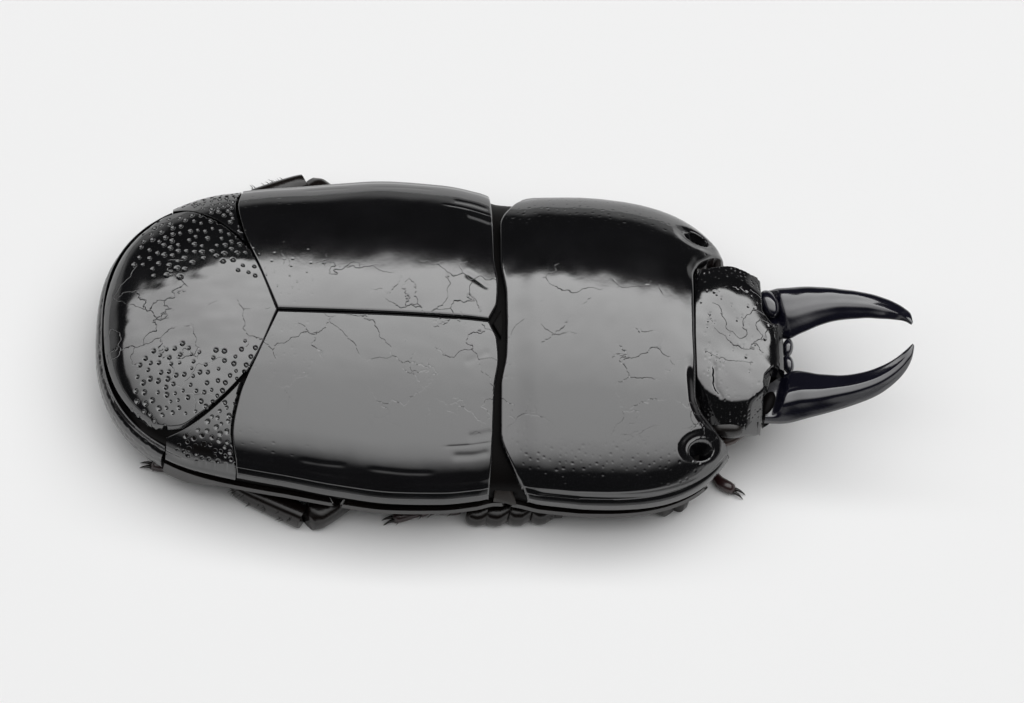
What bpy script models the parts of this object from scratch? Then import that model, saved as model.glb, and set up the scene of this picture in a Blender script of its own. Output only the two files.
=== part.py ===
"""Hololepta lissopyga, a flat black beetle, at life size, lying on its folded legs.

Metres, +Z up, +X towards the head, +Y the beetle's left side. The floor is z = 0.
Every size in this file is in millimetres; add_piece turns each finished mesh into metres.
"""
import math

import bmesh
import bpy
import numpy as np
from mathutils import Matrix

MM = 0.001
SEAM = 0.09                  # clear gap between neighbouring pieces, as wide as the real sutures
LEFT = 1.0
RIGHT = -1.0

# Driving sizes along the body: total length 13.0 with the mandibles.
BODY_REAR = -6.54
MANDIBLE_TIP = 6.46
ELYTRON_SUTURE_REAR = -3.64
WAIST = -0.06                # hind margin of the pronotum on the midline
PRONOTUM_FRONT = 2.97        # front margin of the pronotum on the midline
HEAD_FRONT = 4.47

# The round rear of the body and the round front of the pronotum, seen from above.
REAR_BEND = -3.60
REAR_LENGTH = REAR_BEND - BODY_REAR
REAR_ROUNDNESS = 2.55
PROPYGIDIUM_ROUNDNESS = 2.3
PROPYGIDIUM_INSET = 0.13     # its edge lies inside the rim of the last plate
FRONT_BEND = 1.00
FRONT_LENGTH = 2.85
FRONT_ROUNDNESS = 3.0

# Levels: the upper plates end at PLATE_FLOOR, and the underside starts one seam below.
PLATE_FLOOR = 0.78
PROPYGIDIUM_FLOOR = 0.90
UNDERSIDE_TOP = PLATE_FLOOR - SEAM
CROWN_FLATNESS = 2.6
LEAST_WALL = 0.03
SEAM_ROLL = 0.09             # how far a plate's edge rolls down into a seam

LEG_THICKNESS = 0.48
BELLY_CLEARANCE = LEG_THICKNESS + SEAM
HEAD_FLOOR = 0.66


def through(*knots):
    """A smooth function through (place, value) knots, level beyond both ends."""
    at, value = np.array(knots, float).T
    rise = np.diff(value) / np.diff(at)
    slope = np.concatenate([rise[:1], np.zeros(len(at) - 2), rise[-1:]])
    product = rise[:-1] * rise[1:]
    total = rise[:-1] + rise[1:]
    slope[1:-1] = np.where(product > 0, 2 * product / np.where(product > 0, total, 1), 0)

    def value_at(x):
        x = np.clip(x, at[0], at[-1])
        i = np.clip(np.searchsorted(at, x, side="right") - 1, 0, len(at) - 2)
        step = at[i + 1] - at[i]
        s = (x - at[i]) / step
        start = (1 + 2 * s) * (1 - s) ** 2 * value[i] + s * (1 - s) ** 2 * step * slope[i]
        end = s * s * (3 - 2 * s) * value[i + 1] + s * s * (s - 1) * step * slope[i + 1]
        return start + end

    return value_at


def bend(points, at):
    """Places along a smooth line through points, at fractions of its chord length."""
    points = np.array(points, float)
    length = np.concatenate([[0], np.cumsum(np.linalg.norm(np.diff(points, axis=0), axis=1))])
    length /= length[-1]
    lines = [through(*zip(length, column)) for column in points.T]
    return np.stack([line(np.asarray(at, float)) for line in lines], axis=-1)


# The body's half width, its crown height on the midline and its side edge height, along X.
FLANK = through((BODY_REAR, 2.50), (-4.40, 2.59), (-3.60, 2.68), (-2.70, 2.82), (-1.80, 2.91),
                (-1.00, 2.88), (-0.45, 2.79), (-0.10, 2.70), (0.10, 2.70), (0.60, 2.79),
                (1.20, 2.83))
CROWN = through((BODY_REAR, 0.98), (-6.42, 1.18), (-6.08, 1.48), (-5.40, 1.77), (-4.60, 1.93),
                (-3.60, 1.99), (-2.00, 2.02), (-0.80, 1.99), (-0.15, 1.92), (0.00, 1.92),
                (0.45, 1.98), (1.40, 2.02), (2.40, 1.95), (3.00, 1.85), (3.60, 1.72))
EDGE = through((BODY_REAR, 0.96), (-5.50, 1.02), (-4.20, 1.10), (-2.70, 1.05), (-0.50, 1.03),
               (0.20, 0.97), (1.50, 0.93), (3.00, 0.88), (3.60, 0.86))


def half_width(x):
    rear = np.clip((REAR_BEND - x) / REAR_LENGTH, 0, 1)
    front = np.clip((x - FRONT_BEND) / FRONT_LENGTH, 0, 1)
    rear_round = (1 - rear ** REAR_ROUNDNESS) ** (1 / REAR_ROUNDNESS)
    front_round = (1 - front ** FRONT_ROUNDNESS) ** (1 / FRONT_ROUNDNESS)
    return FLANK(x) * rear_round * front_round


def back(x, y):
    """Height of the back: a flat disc that rounds down to the side edge."""
    out = np.clip(np.abs(y) / np.maximum(half_width(x), 1e-6), 0, 1)
    return EDGE(x) + (CROWN(x) - EDGE(x)) * np.sqrt(1 - out ** CROWN_FLATNESS)


# Seam lines between the plates, seen from above on the left side.
HIND_MARGIN = [(WAIST, 0.0), (-0.07, 0.55), (-0.15, 1.15), (-0.14, 1.90), (0.10, 2.42),
               (0.36, 2.80)]
FRONT_MARGIN = [(PRONOTUM_FRONT, 0.0), (2.98, 0.70), (2.99, 1.08), (3.08, 1.34), (3.28, 1.54),
                (3.60, 1.76)]
SCUTELLUM_TIP = -0.33
SCUTELLUM_HALF_WIDTH = 0.30
ELYTRON_BASE = [(SCUTELLUM_TIP - SEAM, SEAM / 2), (-0.17, SCUTELLUM_HALF_WIDTH + SEAM),
                (-0.18, 0.70), (-0.24, 1.20), (-0.24, 1.95), (-0.26, 2.77)]
ELYTRON_APEX = [(ELYTRON_SUTURE_REAR, SEAM / 2), (-3.94, 0.78), (-4.22, 1.54), (-4.30, 2.06),
                (-4.20, 2.50)]
PROPYGIDIUM_SIDE = [(-4.19, 1.08), (-4.50, 1.45), (-4.86, 1.76), (-5.20, 1.94), (-5.44, 2.00)]
TERGITE_SPAN = (0.90, 0.13)      # shares of the propygidium's side line beside each tergite
TERGITE_NOSE = 0.30              # share of the elytron's apex line where the tergite begins
PROPYGIDIUM_NOSE = ELYTRON_SUTURE_REAR - SEAM


def side_line(x_start, x_end, at, inset=0.0):
    x = x_start + (x_end - x_start) * np.asarray(at, float)
    return np.stack([x, half_width(x) - inset], axis=-1)


def rear_arc(angles, inset, roundness=REAR_ROUNDNESS):
    """The rounded rear outline, moved in by inset, at angles from straight back."""
    s, c = np.abs(np.sin(angles)), np.abs(np.cos(angles))
    x = REAR_BEND - (REAR_LENGTH - inset) * c ** (2 / roundness)
    y = (FLANK(x) - inset) * s ** (2 / roundness) * np.sign(np.sin(angles))
    return np.stack([x, y], axis=-1)


def patch(south, north, west, east, u, v):
    """A grid between four edge lines: u runs along south and north, v along west and east."""
    u = np.asarray(u, float)[:, None, None]
    v = np.asarray(v, float)[None, :, None]
    ruled = (1 - v) * south[:, None] + v * north[:, None] + (1 - u) * west[None] + u * east[None]
    corners = ((1 - u) * (1 - v) * south[0] + u * (1 - v) * south[-1]
               + (1 - u) * v * north[0] + u * v * north[-1])
    return ruled - corners


def rolled(distance, roll=SEAM_ROLL):
    """How far the surface drops at a distance from a plate's edge."""
    d = np.clip(distance, 0, roll)
    return roll - np.sqrt(roll ** 2 - (roll - d) ** 2)


def edge_roll(grid, sides):
    """The drop at each grid point from rolled edges on the named sides of the grid."""
    borders = {"south": grid[:, :1], "north": grid[:, -1:], "west": grid[:1], "east": grid[-1:]}
    drop = np.zeros(grid.shape[:2])
    for side in sides:
        drop = np.maximum(drop, rolled(np.linalg.norm(grid - borders[side], axis=-1)))
    return drop


def add_mesh(name, verts, faces):
    """A closed mesh object in millimetres, with doubles merged and faces turned outwards."""
    bm = bmesh.new()
    made = [bm.verts.new(v) for v in verts]
    for face in faces:
        bm.faces.new([made[i] for i in face])
    bmesh.ops.remove_doubles(bm, verts=bm.verts, dist=1e-5)
    bmesh.ops.recalc_face_normals(bm, faces=bm.faces)
    mesh = bpy.data.meshes.new(name)
    bm.to_mesh(mesh)
    bm.free()
    piece = bpy.data.objects.new(name, mesh)
    bpy.context.scene.collection.objects.link(piece)
    return piece


def slab(name, grid, heights, level, tuck=0.0):
    """A closed solid between a curved face and a level face over the same grid.

    The level face is narrower across Y by the share tuck.
    """
    rows, columns = grid.shape[:2]
    if level < heights.mean():
        heights = np.maximum(heights, level + LEAST_WALL)
    else:
        heights = np.minimum(heights, level - LEAST_WALL)
    curved = np.dstack([grid, heights]).reshape(-1, 3)
    flat = np.dstack([grid * (1, 1 - tuck), np.full((rows, columns), level)]).reshape(-1, 3)

    def index(i, j):
        return i * columns + j

    faces = []
    for i in range(rows - 1):
        for j in range(columns - 1):
            cell = [index(i, j), index(i + 1, j), index(i + 1, j + 1), index(i, j + 1)]
            faces.append(cell)
            faces.append([k + rows * columns for k in cell])
    rim = ([index(i, 0) for i in range(rows)] + [index(rows - 1, j) for j in range(1, columns)]
           + [index(i, columns - 1) for i in range(rows - 2, -1, -1)]
           + [index(0, j) for j in range(columns - 2, 0, -1)])
    for k, one in enumerate(rim):
        two = rim[(k + 1) % len(rim)]
        faces.append([one, two, two + rows * columns, one + rows * columns])
    return add_mesh(name, np.vstack([curved, flat]), faces)


def loft(name, rings):
    """A closed solid through rings of equal point count, with flat ends."""
    rings = np.array(rings)
    count, sides = rings.shape[:2]
    faces = []
    for k in range(count - 1):
        for i in range(sides):
            j = (i + 1) % sides
            faces.append((k * sides + i, k * sides + j, (k + 1) * sides + j, (k + 1) * sides + i))
    faces.append(list(range(sides)))
    faces.append([(count - 1) * sides + i for i in range(sides)])
    return add_mesh(name, rings.reshape(-1, 3), faces)


def section(sides, fullness):
    """A unit ring, from round at fullness 1 to boxy near 0, with a level top and bottom."""
    angle = (np.arange(sides) + 0.5) * 2 * math.pi / sides
    ring = np.stack([np.cos(angle), np.sin(angle)], axis=-1)
    ring = np.sign(ring) * np.abs(ring) ** fullness
    return ring / np.abs(ring).max(axis=0)


def bar(name, path, widths, heights, sides=10, fullness=0.7, grow=0.0, on_floor=True):
    """A limb along a path. Widths lie level across it; grow makes the matching cutter."""
    path = np.array(path, float)
    along = np.gradient(path, axis=0)
    along /= np.linalg.norm(along, axis=1)[:, None]
    path[0] -= along[0] * grow
    path[-1] += along[-1] * grow
    across = np.cross(along, (0, 0, 1))
    across /= np.linalg.norm(across, axis=1)[:, None]
    upward = np.cross(across, along)
    ring = section(sides, fullness)
    half_widths = np.asarray(widths, float) / 2 + grow
    half_heights = np.asarray(heights, float) / 2 + grow
    if on_floor:
        path[:, 2] = half_heights - grow
        upward = np.tile((0.0, 0.0, 1.0), (len(path), 1))
    rings = (path[:, None] + ring[None, :, :1] * (across * half_widths[:, None])[:, None]
             + ring[None, :, 1:] * (upward * half_heights[:, None])[:, None])
    return loft(name, rings)


def ellipsoid(name, centre, radii, turn=0.0, grow=0.0, segments=14, rings=8):
    bm = bmesh.new()
    bmesh.ops.create_uvsphere(bm, u_segments=segments, v_segments=rings, radius=1.0)
    size = [r + grow for r in radii]
    place = Matrix.Translation(centre) @ Matrix.Rotation(turn, 4, "Z") @ Matrix.Diagonal((*size, 1))
    bmesh.ops.transform(bm, matrix=place, verts=bm.verts)
    mesh = bpy.data.meshes.new(name)
    bm.to_mesh(mesh)
    bm.free()
    piece = bpy.data.objects.new(name, mesh)
    bpy.context.scene.collection.objects.link(piece)
    return piece


def keep_largest(mesh):
    """Drops every loose scrap but the largest closed surface."""
    bm = bmesh.new()
    bm.from_mesh(mesh)
    waiting = set(bm.verts)
    groups = []
    while waiting:
        group = [waiting.pop()]
        for vert in group:
            for link in vert.link_edges:
                other = link.other_vert(vert)
                if other in waiting:
                    waiting.remove(other)
                    group.append(other)
        groups.append(group)
    groups.sort(key=len)
    scraps = [vert for group in groups[:-1] for vert in group]
    bmesh.ops.delete(bm, geom=scraps, context="VERTS")
    bm.to_mesh(mesh)
    bm.free()


def boolean(piece, helpers, operation):
    """Joins or cuts a piece with helper solids, applies it and removes the helpers."""
    helper_set = bpy.data.collections.new("helpers")
    for helper in helpers:
        helper_set.objects.link(helper)
    step = piece.modifiers.new(operation.lower(), "BOOLEAN")
    step.operation = operation
    step.operand_type = "COLLECTION"
    step.collection = helper_set
    step.solver = "EXACT"
    graph = bpy.context.evaluated_depsgraph_get()
    mesh = bpy.data.meshes.new_from_object(piece.evaluated_get(graph))
    piece.modifiers.clear()
    old = piece.data
    piece.data = mesh
    mesh.name = piece.name
    bpy.data.meshes.remove(old)
    for helper in helpers:
        bpy.data.meshes.remove(helper.data)
    bpy.data.collections.remove(helper_set)
    keep_largest(mesh)
    return piece


def cut(piece, helpers):
    return boolean(piece, helpers, "DIFFERENCE")


def join(piece, helpers):
    return boolean(piece, helpers, "UNION")


def mirrored(points, side):
    points = np.array(points, float)
    points[..., 1] *= side
    return points


def side_name(side):
    return "left" if side > 0 else "right"


# Grid stations, as shares of a plate's length or width; the second ring rounds the edge.
ALONG = (0, 0.022, 0.07, 0.15, 0.25, 0.37, 0.49, 0.61, 0.72, 0.82, 0.90, 0.955, 0.982, 1)
ACROSS = (0, 0.03, 0.12, 0.25, 0.38, 0.50, 0.61, 0.70, 0.78, 0.84, 0.885, 0.915, 0.945, 0.972,
          0.99, 1)
STRIA = 0.915                # the side stria's share of the elytron's width
STRIA_DEPTH = 0.05
BEAD_STRIA = 0.955           # the marginal stria's share of the pronotum's half width
FOVEA_CENTRE = np.array([3.10, 1.88, 1.47])      # the deep pit in each front corner
FOVEA_RADII = (0.36, 0.18, 0.27)
FOVEA_TURN = -0.45


def stria(across, centre, reach, depth):
    """A V-shaped groove along a plate, at one share of its width."""
    return depth * np.clip(1 - np.abs(across - centre) / reach, 0, 1)


def make_elytron(side):
    u = np.array(ALONG)
    v = np.array(ACROSS)
    suture = bend([ELYTRON_APEX[0], ELYTRON_BASE[0]], u)
    flank = side_line(ELYTRON_APEX[-1][0], ELYTRON_BASE[-1][0], u)
    apex = bend(ELYTRON_APEX[:-1] + [tuple(flank[0])], v)
    base = bend(ELYTRON_BASE[:-1] + [tuple(flank[-1])], v)
    grid = patch(suture, flank, apex, base, u, v)
    heights = back(grid[..., 0], grid[..., 1])
    heights = heights - edge_roll(grid, ["south", "west", "east"])
    heights = heights - stria(v, STRIA, 0.03, STRIA_DEPTH)[None, :] * (u > 0.05)[:, None]
    return slab("elytron_" + side_name(side), mirrored(grid, side), heights, PLATE_FLOOR, tuck=0.03)


def make_pronotum():
    half = np.array([0, 0.13, 0.26, 0.38, 0.50, 0.61, 0.71, 0.79, 0.86, 0.925, BEAD_STRIA, 0.98, 1])
    share = np.concatenate([-half[:0:-1], half])
    v = (share + 1) / 2
    u = np.array([0, 0.025, 0.08, 0.17, 0.28, 0.40, 0.52, 0.64, 0.75, 0.85, 0.925, 0.975, 1])
    corner_rear = HIND_MARGIN[-1][0]
    corner_front = FRONT_MARGIN[-1][0]
    flank = side_line(corner_rear, corner_front, u)
    hind = bend(HIND_MARGIN[:-1] + [tuple(flank[0])], half)
    front = bend(FRONT_MARGIN[:-1] + [tuple(flank[-1])], half)
    west = np.vstack([mirrored(hind[:0:-1], RIGHT), hind])
    east = np.vstack([mirrored(front[:0:-1], RIGHT), front])
    grid = patch(mirrored(flank, RIGHT), flank, west, east, u, v)
    heights = back(grid[..., 0], grid[..., 1]) - edge_roll(grid, ["west", "east"])
    groove = stria(np.abs(share), BEAD_STRIA, 0.028, 0.05)
    heights = heights - groove[None, :] * (u > 0.05)[:, None]
    pronotum = slab("pronotum", grid, heights, PLATE_FLOOR, tuck=0.02)
    pits = [ellipsoid("pit", FOVEA_CENTRE * (1, side, 1), FOVEA_RADII,
                      turn=side * FOVEA_TURN, segments=14, rings=10) for side in (LEFT, RIGHT)]
    return cut(pronotum, pits)


def make_scutellum():
    tip, wide, base = SCUTELLUM_TIP, SCUTELLUM_HALF_WIDTH, WAIST - SEAM
    outline = [(tip, 0.0), (base - 0.03, wide), (base, 0.0), (base - 0.03, -wide)]
    level = back(base, 0.0) - 0.07
    ring = [[(x, y, z) for x, y in outline] for z in (PLATE_FLOOR, level)]
    return loft("scutellum", ring)


def make_mesepimeron(side):
    outline = [(-0.13, 2.14), (-0.17, 2.50), (-0.17, 2.66), (0.20, 2.69), (0.04, 2.47)]
    rings = []
    for level in (PLATE_FLOOR, None):
        ring = [(x, side * y, level or back(x, y) - 0.10) for x, y in outline]
        rings.append(ring)
    return loft("mesepimeron_" + side_name(side), rings)


def make_propygidium():
    """The large last plate of the back, rounded at the rear."""
    half = np.array([0, 0.16, 0.34, 0.52, 0.70, 0.86, 0.97, 1])
    share = np.concatenate([-half[:0:-1], half])
    v = (share + 1) / 2
    u = np.array([0, 0.02, 0.06, 0.14, 0.28, 0.46, 0.66, 0.84, 0.965, 1])
    corner = PROPYGIDIUM_SIDE[-1]
    reach = math.asin((corner[1] / FLANK(corner[0])) ** (PROPYGIDIUM_ROUNDNESS / 2))
    arc = rear_arc(reach * share, PROPYGIDIUM_INSET, PROPYGIDIUM_ROUNDNESS)
    nose_half = bend([(PROPYGIDIUM_NOSE, 0.0), (-4.0, 0.70), PROPYGIDIUM_SIDE[0]], half)
    nose = np.vstack([mirrored(nose_half[:0:-1], RIGHT), nose_half])
    side = bend([tuple(arc[-1])] + PROPYGIDIUM_SIDE[-2::-1], u)
    grid = patch(mirrored(side, RIGHT), side, arc, nose, u, v)
    heights = back(grid[..., 0], grid[..., 1]) - edge_roll(grid, ["south", "north", "east"])
    return slab("propygidium", grid, heights, PROPYGIDIUM_FLOOR)


def make_tergite(side):
    """The three-cornered plate beside the propygidium, under the elytron's rear corner."""
    u = np.array([0, 0.22, 0.46, 0.70, 0.90, 1])
    v = np.array([0, 0.33, 0.66, 1])
    border = bend(PROPYGIDIUM_SIDE, TERGITE_SPAN[0] + (TERGITE_SPAN[1] - TERGITE_SPAN[0]) * u)
    along = np.gradient(border, axis=0)
    along /= np.linalg.norm(along, axis=1)[:, None]
    inner = border + SEAM * along @ np.array([[0, 1], [-1, 0]])
    front = bend([(x - SEAM, y) for x, y in ELYTRON_APEX[1:]],
                 TERGITE_NOSE + (1 - TERGITE_NOSE) * v)
    inner[-1] = front[0]
    flank = side_line(inner[0][0], front[-1][0], u)
    front[-1] = flank[-1]
    tail = inner[0] + (flank[0] - inner[0]) * v[:, None]
    grid = patch(inner, flank, tail, front, u, v)
    heights = back(grid[..., 0], grid[..., 1]) - edge_roll(grid, ["south", "east"])
    return slab("tergite_" + side_name(side), mirrored(grid, side), heights, PLATE_FLOOR)


def make_pygidium(grow=0.0):
    """The steep last plate, a band around the rear below the propygidium's rim."""
    reach = 0.93
    top, foot, deep = PROPYGIDIUM_FLOOR - SEAM, 0.38, 0.62
    profile = [(deep + grow, top + grow), (0.06 - grow, top + grow), (-grow, top - 0.08),
               (-grow, 0.56), (0.07 - grow, foot + 0.06), (0.24, foot - grow),
               (deep + grow, foot - grow)]
    rings = []
    for angle in np.linspace(-reach, reach, 15):
        places = [rear_arc(np.array([angle]), inset)[0] for inset, _ in profile]
        rings.append([(x, y, level) for (x, y), (_, level) in zip(places, profile)])
    return loft("pygidium", rings)


# The underside: a sternal keel on the midline, and shallow flanks over the folded legs.
KEEL_LEVEL = through((-6.20, 0.42), (-5.20, 0.28), (-3.00, 0.26), (-1.00, 0.22), (0.00, 0.26),
                     (1.60, 0.30), (3.00, 0.40))
KEEL_HALF_WIDTH = through((-6.20, 0.60), (-4.60, 1.55), (-3.20, 1.40), (-2.20, 1.05),
                          (-1.00, 0.80), (0.60, 0.55), (3.00, 0.50))
FLANK_LEVEL = through((-5.00, 0.38), (-4.50, BELLY_CLEARANCE))
KEEL_SLOPE = 0.45
UNDERSIDE_INSET = 0.04
UNDERSIDE_HALF = np.array([0, 0.14, 0.26, 0.36, 0.46, 0.60, 0.80, 0.94, 1])


def belly(x, y):
    s = np.clip((np.abs(y) - KEEL_HALF_WIDTH(x)) / KEEL_SLOPE, 0, 1)
    out = np.clip(np.abs(y) / (half_width(x) - UNDERSIDE_INSET), 0, 1)
    upturn = 0.06 * out ** 6
    return KEEL_LEVEL(x) + (FLANK_LEVEL(x) - KEEL_LEVEL(x)) * s * s * (3 - 2 * s) + upturn


def make_underside(name, rear, front, u, furrows=()):
    """A ventral solid between two seam lines given from the midline out to the side."""
    u = np.array(u)
    share = np.concatenate([-UNDERSIDE_HALF[:0:-1], UNDERSIDE_HALF])
    flank = side_line(rear[-1][0], front[-1][0], u, UNDERSIDE_INSET)
    rear_half = bend(list(rear[:-1]) + [tuple(flank[0])], UNDERSIDE_HALF)
    front_half = bend(list(front[:-1]) + [tuple(flank[-1])], UNDERSIDE_HALF)
    west = np.vstack([mirrored(rear_half[:0:-1], RIGHT), rear_half])
    east = np.vstack([mirrored(front_half[:0:-1], RIGHT), front_half])
    grid = patch(mirrored(flank, RIGHT), flank, west, east, u, (share + 1) / 2)
    heights = belly(grid[..., 0], grid[..., 1])
    for place in furrows:
        heights = heights + 0.05 * (np.abs(u - place) < 1e-6)[:, None]
    return slab(name, grid, heights, UNDERSIDE_TOP)


def make_undersides():
    thorax_front = [(-0.12, 0.0), (-0.12, 1.2), (-0.05, 2.2), (0.02, 2.6)]
    thorax_rear = [(-2.20, 0.0), (-2.25, 1.2), (-2.45, 2.2), (-2.60, 2.7)]
    chest_rear = [(x + SEAM, y) for x, y in thorax_front]
    chest_front = [(2.92, 0.0), (2.90, 1.0), (3.00, 1.5), (3.28, 1.9)]
    belly_front = [(x - SEAM, y) for x, y in thorax_rear]
    belly_rear = [(-6.05, 0.0), (-6.00, 0.35), (-5.90, 0.75), (-5.60, 1.4)]
    chest = make_underside("prosternum", chest_rear, chest_front, np.linspace(0, 1, 8))
    thorax = make_underside("metasternum", thorax_rear, thorax_front, np.linspace(0, 1, 7))
    abdomen = make_underside("abdomen", belly_rear, belly_front, np.linspace(0, 1, 13),
                             furrows=(0.25, 0.5, 0.75))
    cut(abdomen, [make_pygidium(SEAM)])
    return chest, thorax, abdomen


# The head, from its rear margin at the pronotum to the front between the mandibles.
HEAD_HALF_WIDTH = through((2.90, 1.30), (3.20, 1.41), (3.60, 1.50), (3.95, 1.43), (4.24, 1.26),
                          (4.50, 0.92))
HEAD_CROWN = through((2.90, 1.72), (3.40, 1.68), (3.90, 1.58), (4.25, 1.45), (4.50, 1.32))
HEAD_EDGE = through((2.90, 1.16), (3.60, 1.16), (3.95, 1.20), (4.24, 1.16), (4.50, 1.08))


def forehead(x, y):
    out = np.clip(np.abs(y) / HEAD_HALF_WIDTH(x), 0, 1)
    return HEAD_EDGE(x) + (HEAD_CROWN(x) - HEAD_EDGE(x)) * np.sqrt(1 - out ** 3)


def make_head():
    half = np.array([0, 0.2, 0.4, 0.6, 0.76, 0.88, 0.96, 1])
    share = np.concatenate([-half[:0:-1], half])
    u = np.array([0, 0.05, 0.2, 0.36, 0.52, 0.68, 0.84, 0.95, 1])
    rear_line = [(x + SEAM, y) for x, y in FRONT_MARGIN[:3]] + [(3.15, 1.36)]
    front_line = [(HEAD_FRONT, 0.0), (HEAD_FRONT, 0.45), (4.41, 0.82), (4.24, 1.20)]
    rear_half = bend(rear_line, half)
    front_half = bend(front_line, half)
    x = rear_half[-1][0] + (front_half[-1][0] - rear_half[-1][0]) * u
    flank = np.stack([x, HEAD_HALF_WIDTH(x)], axis=-1)
    rear_half[-1], front_half[-1] = flank[0], flank[-1]
    west = np.vstack([mirrored(rear_half[:0:-1], RIGHT), rear_half])
    east = np.vstack([mirrored(front_half[:0:-1], RIGHT), front_half])
    grid = patch(mirrored(flank, RIGHT), flank, west, east, u, (share + 1) / 2)
    heights = forehead(grid[..., 0], grid[..., 1]) - edge_roll(grid, ["west", "east"])
    head = slab("head", grid, heights, HEAD_FLOOR, tuck=0.26)
    sockets = []
    for side in (LEFT, RIGHT):
        sockets.append(make_mandible(side, SEAM))
        sockets.append(make_eye(side, SEAM))
        sockets.append(make_antenna(side, SEAM))
    return cut(head, sockets)


def make_eye(side, grow=0.0):
    return ellipsoid("eye_" + side_name(side), (3.54, side * 1.40, 1.20), (0.26, 0.13, 0.15),
                     grow=grow)


def make_labrum():
    outline = [(4.54, -0.24), (4.67, -0.19), (4.68, -0.07), (4.63, 0.0), (4.68, 0.07),
               (4.67, 0.19), (4.54, 0.24), (4.54, 0.0)]
    return loft("labrum", [[(x, y, z) for x, y in outline] for z in (0.98, 1.20)])


# Each mandible between its outer and inner outline, seen from above on the left side.
MANDIBLE_OUTER = [(4.16, 1.18), (4.45, 1.21), (4.73, 1.19), (5.06, 1.14), (5.42, 1.06),
                  (5.81, 0.94), (6.14, 0.76), (6.35, 0.56), (6.44, 0.38), (MANDIBLE_TIP, 0.22)]
MANDIBLE_INNER = [(4.24, 0.52), (4.60, 0.33), (4.77, 0.38), (5.04, 0.47), (5.38, 0.53),
                  (5.72, 0.51), (5.97, 0.45), (6.17, 0.37), (6.32, 0.28), (6.43, 0.18)]
MANDIBLE_LEVEL = through((4.20, 1.14), (4.52, 1.22), (4.75, 1.33), (5.05, 1.44), (5.40, 1.54),
                         (5.76, 1.65), (6.05, 1.77), (6.26, 1.90), (6.38, 2.00), (6.45, 2.05))
MANDIBLE_THICKNESS = through((4.20, 0.46), (4.52, 0.52), (4.75, 0.47), (5.05, 0.41), (5.40, 0.37),
                             (5.76, 0.32), (6.05, 0.26), (6.26, 0.19), (6.38, 0.13), (6.45, 0.06))


def make_mandible(side, grow=0.0):
    at = np.linspace(0, 1, 17)
    outer = bend(MANDIBLE_OUTER, at)
    inner = bend(MANDIBLE_INNER, at)
    across = (outer - inner) / 2
    width = np.linalg.norm(across, axis=1)[:, None]
    across = across * (width + grow) / width
    middle = (outer + inner) / 2
    level = MANDIBLE_LEVEL(middle[:, 0])
    half_height = MANDIBLE_THICKNESS(middle[:, 0]) / 2 + grow
    if grow:
        middle[0] -= (middle[1] - middle[0]) * 0.9
    ring = section(12, 0.9)
    rings = []
    for k in range(len(at)):
        plan = middle[k] + ring[:, :1] * across[k]
        height = level[k] + ring[:, 1] * half_height[k]
        rings.append(np.column_stack([plan[:, 0], side * plan[:, 1], height]))
    return loft("mandible_" + side_name(side), rings)


# Each antenna from the tip of its scape back along the head, round, and forward to the club.
# The left one stands out beside the head and the right one is folded under it.
ANTENNA_ROUTE = {
    LEFT: [(4.13, 1.52, 0.98), (3.96, 1.54, 0.95), (3.70, 1.57, 0.92), (3.51, 1.60, 0.83),
           (3.44, 1.56, 0.66), (3.52, 1.48, 0.53), (3.67, 1.39, 0.45), (3.84, 1.31, 0.42),
           (4.02, 1.23, 0.41), (4.14, 1.18, 0.41)],
    RIGHT: [(3.88, 1.28, 0.66), (3.72, 1.33, 0.64), (3.56, 1.33, 0.61), (3.44, 1.26, 0.56),
            (3.40, 1.12, 0.50), (3.48, 0.98, 0.47), (3.62, 0.90, 0.45), (3.78, 0.86, 0.44),
            (3.94, 0.83, 0.44), (4.05, 0.82, 0.44)],
}
ANTENNA_WIDTH = [0.07, 0.18, 0.21, 0.17, 0.14, 0.15, 0.26, 0.36, 0.34, 0.18]


def make_antenna(side, grow=0.0):
    return bar("antenna_" + side_name(side), mirrored(ANTENNA_ROUTE[side], side), ANTENNA_WIDTH,
               ANTENNA_WIDTH, sides=8, fullness=1.0, grow=grow, on_floor=False)


def make_palp(side):
    path = [(4.22, 0.50, 0.52), (4.34, 0.67, 0.55), (4.47, 0.83, 0.65), (4.60, 0.96, 0.79)]
    width = [0.22, 0.26, 0.24, 0.12]
    return bar("palp_" + side_name(side), mirrored(path, side), width, width, sides=8,
               fullness=1.0, on_floor=False)


# The folded legs, seen from above on the left side: inner end, knee, ankle and toes of each.
LEGS = {
    "fore": {"hip": (1.45, 0.62), "knee": (2.72, 2.36), "ankle": (2.98, 1.02),
             "toes": [(3.10, 0.86), (3.38, 1.06), (3.43, 1.46), (3.56, 1.77), (3.83, 1.93)],
             "femur_width": 0.56, "tibia_width": 0.46, "teeth": (0.14, 0.32)},
    "mid": {"hip": (-0.05, 0.90), "knee": (1.12, 2.40), "ankle": (-0.52, 2.47),
            "toes": [(-0.62, 2.42), (-0.96, 2.34), (-1.36, 2.40), (-1.74, 2.50)],
            "femur_width": 0.54, "tibia_width": 0.42, "teeth": (0.30, 0.52, 0.74, 0.92)},
    "hind": {"hip": (-1.25, 1.02), "knee": (-3.05, 2.84), "ankle": (-4.22, 2.18),
             "toes": [(-4.32, 2.10), (-4.78, 1.99), (-5.22, 1.92), (-5.62, 1.88)],
             "femur_width": 0.60, "tibia_width": 0.46, "teeth": (0.34, 0.56, 0.78)},
}
TOOTH_LENGTH = 0.15
TOOTH_WIDTH = 0.13
TARSUS_WIDTH = (0.21, 0.15)      # of the first and the last of the five joints
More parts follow.
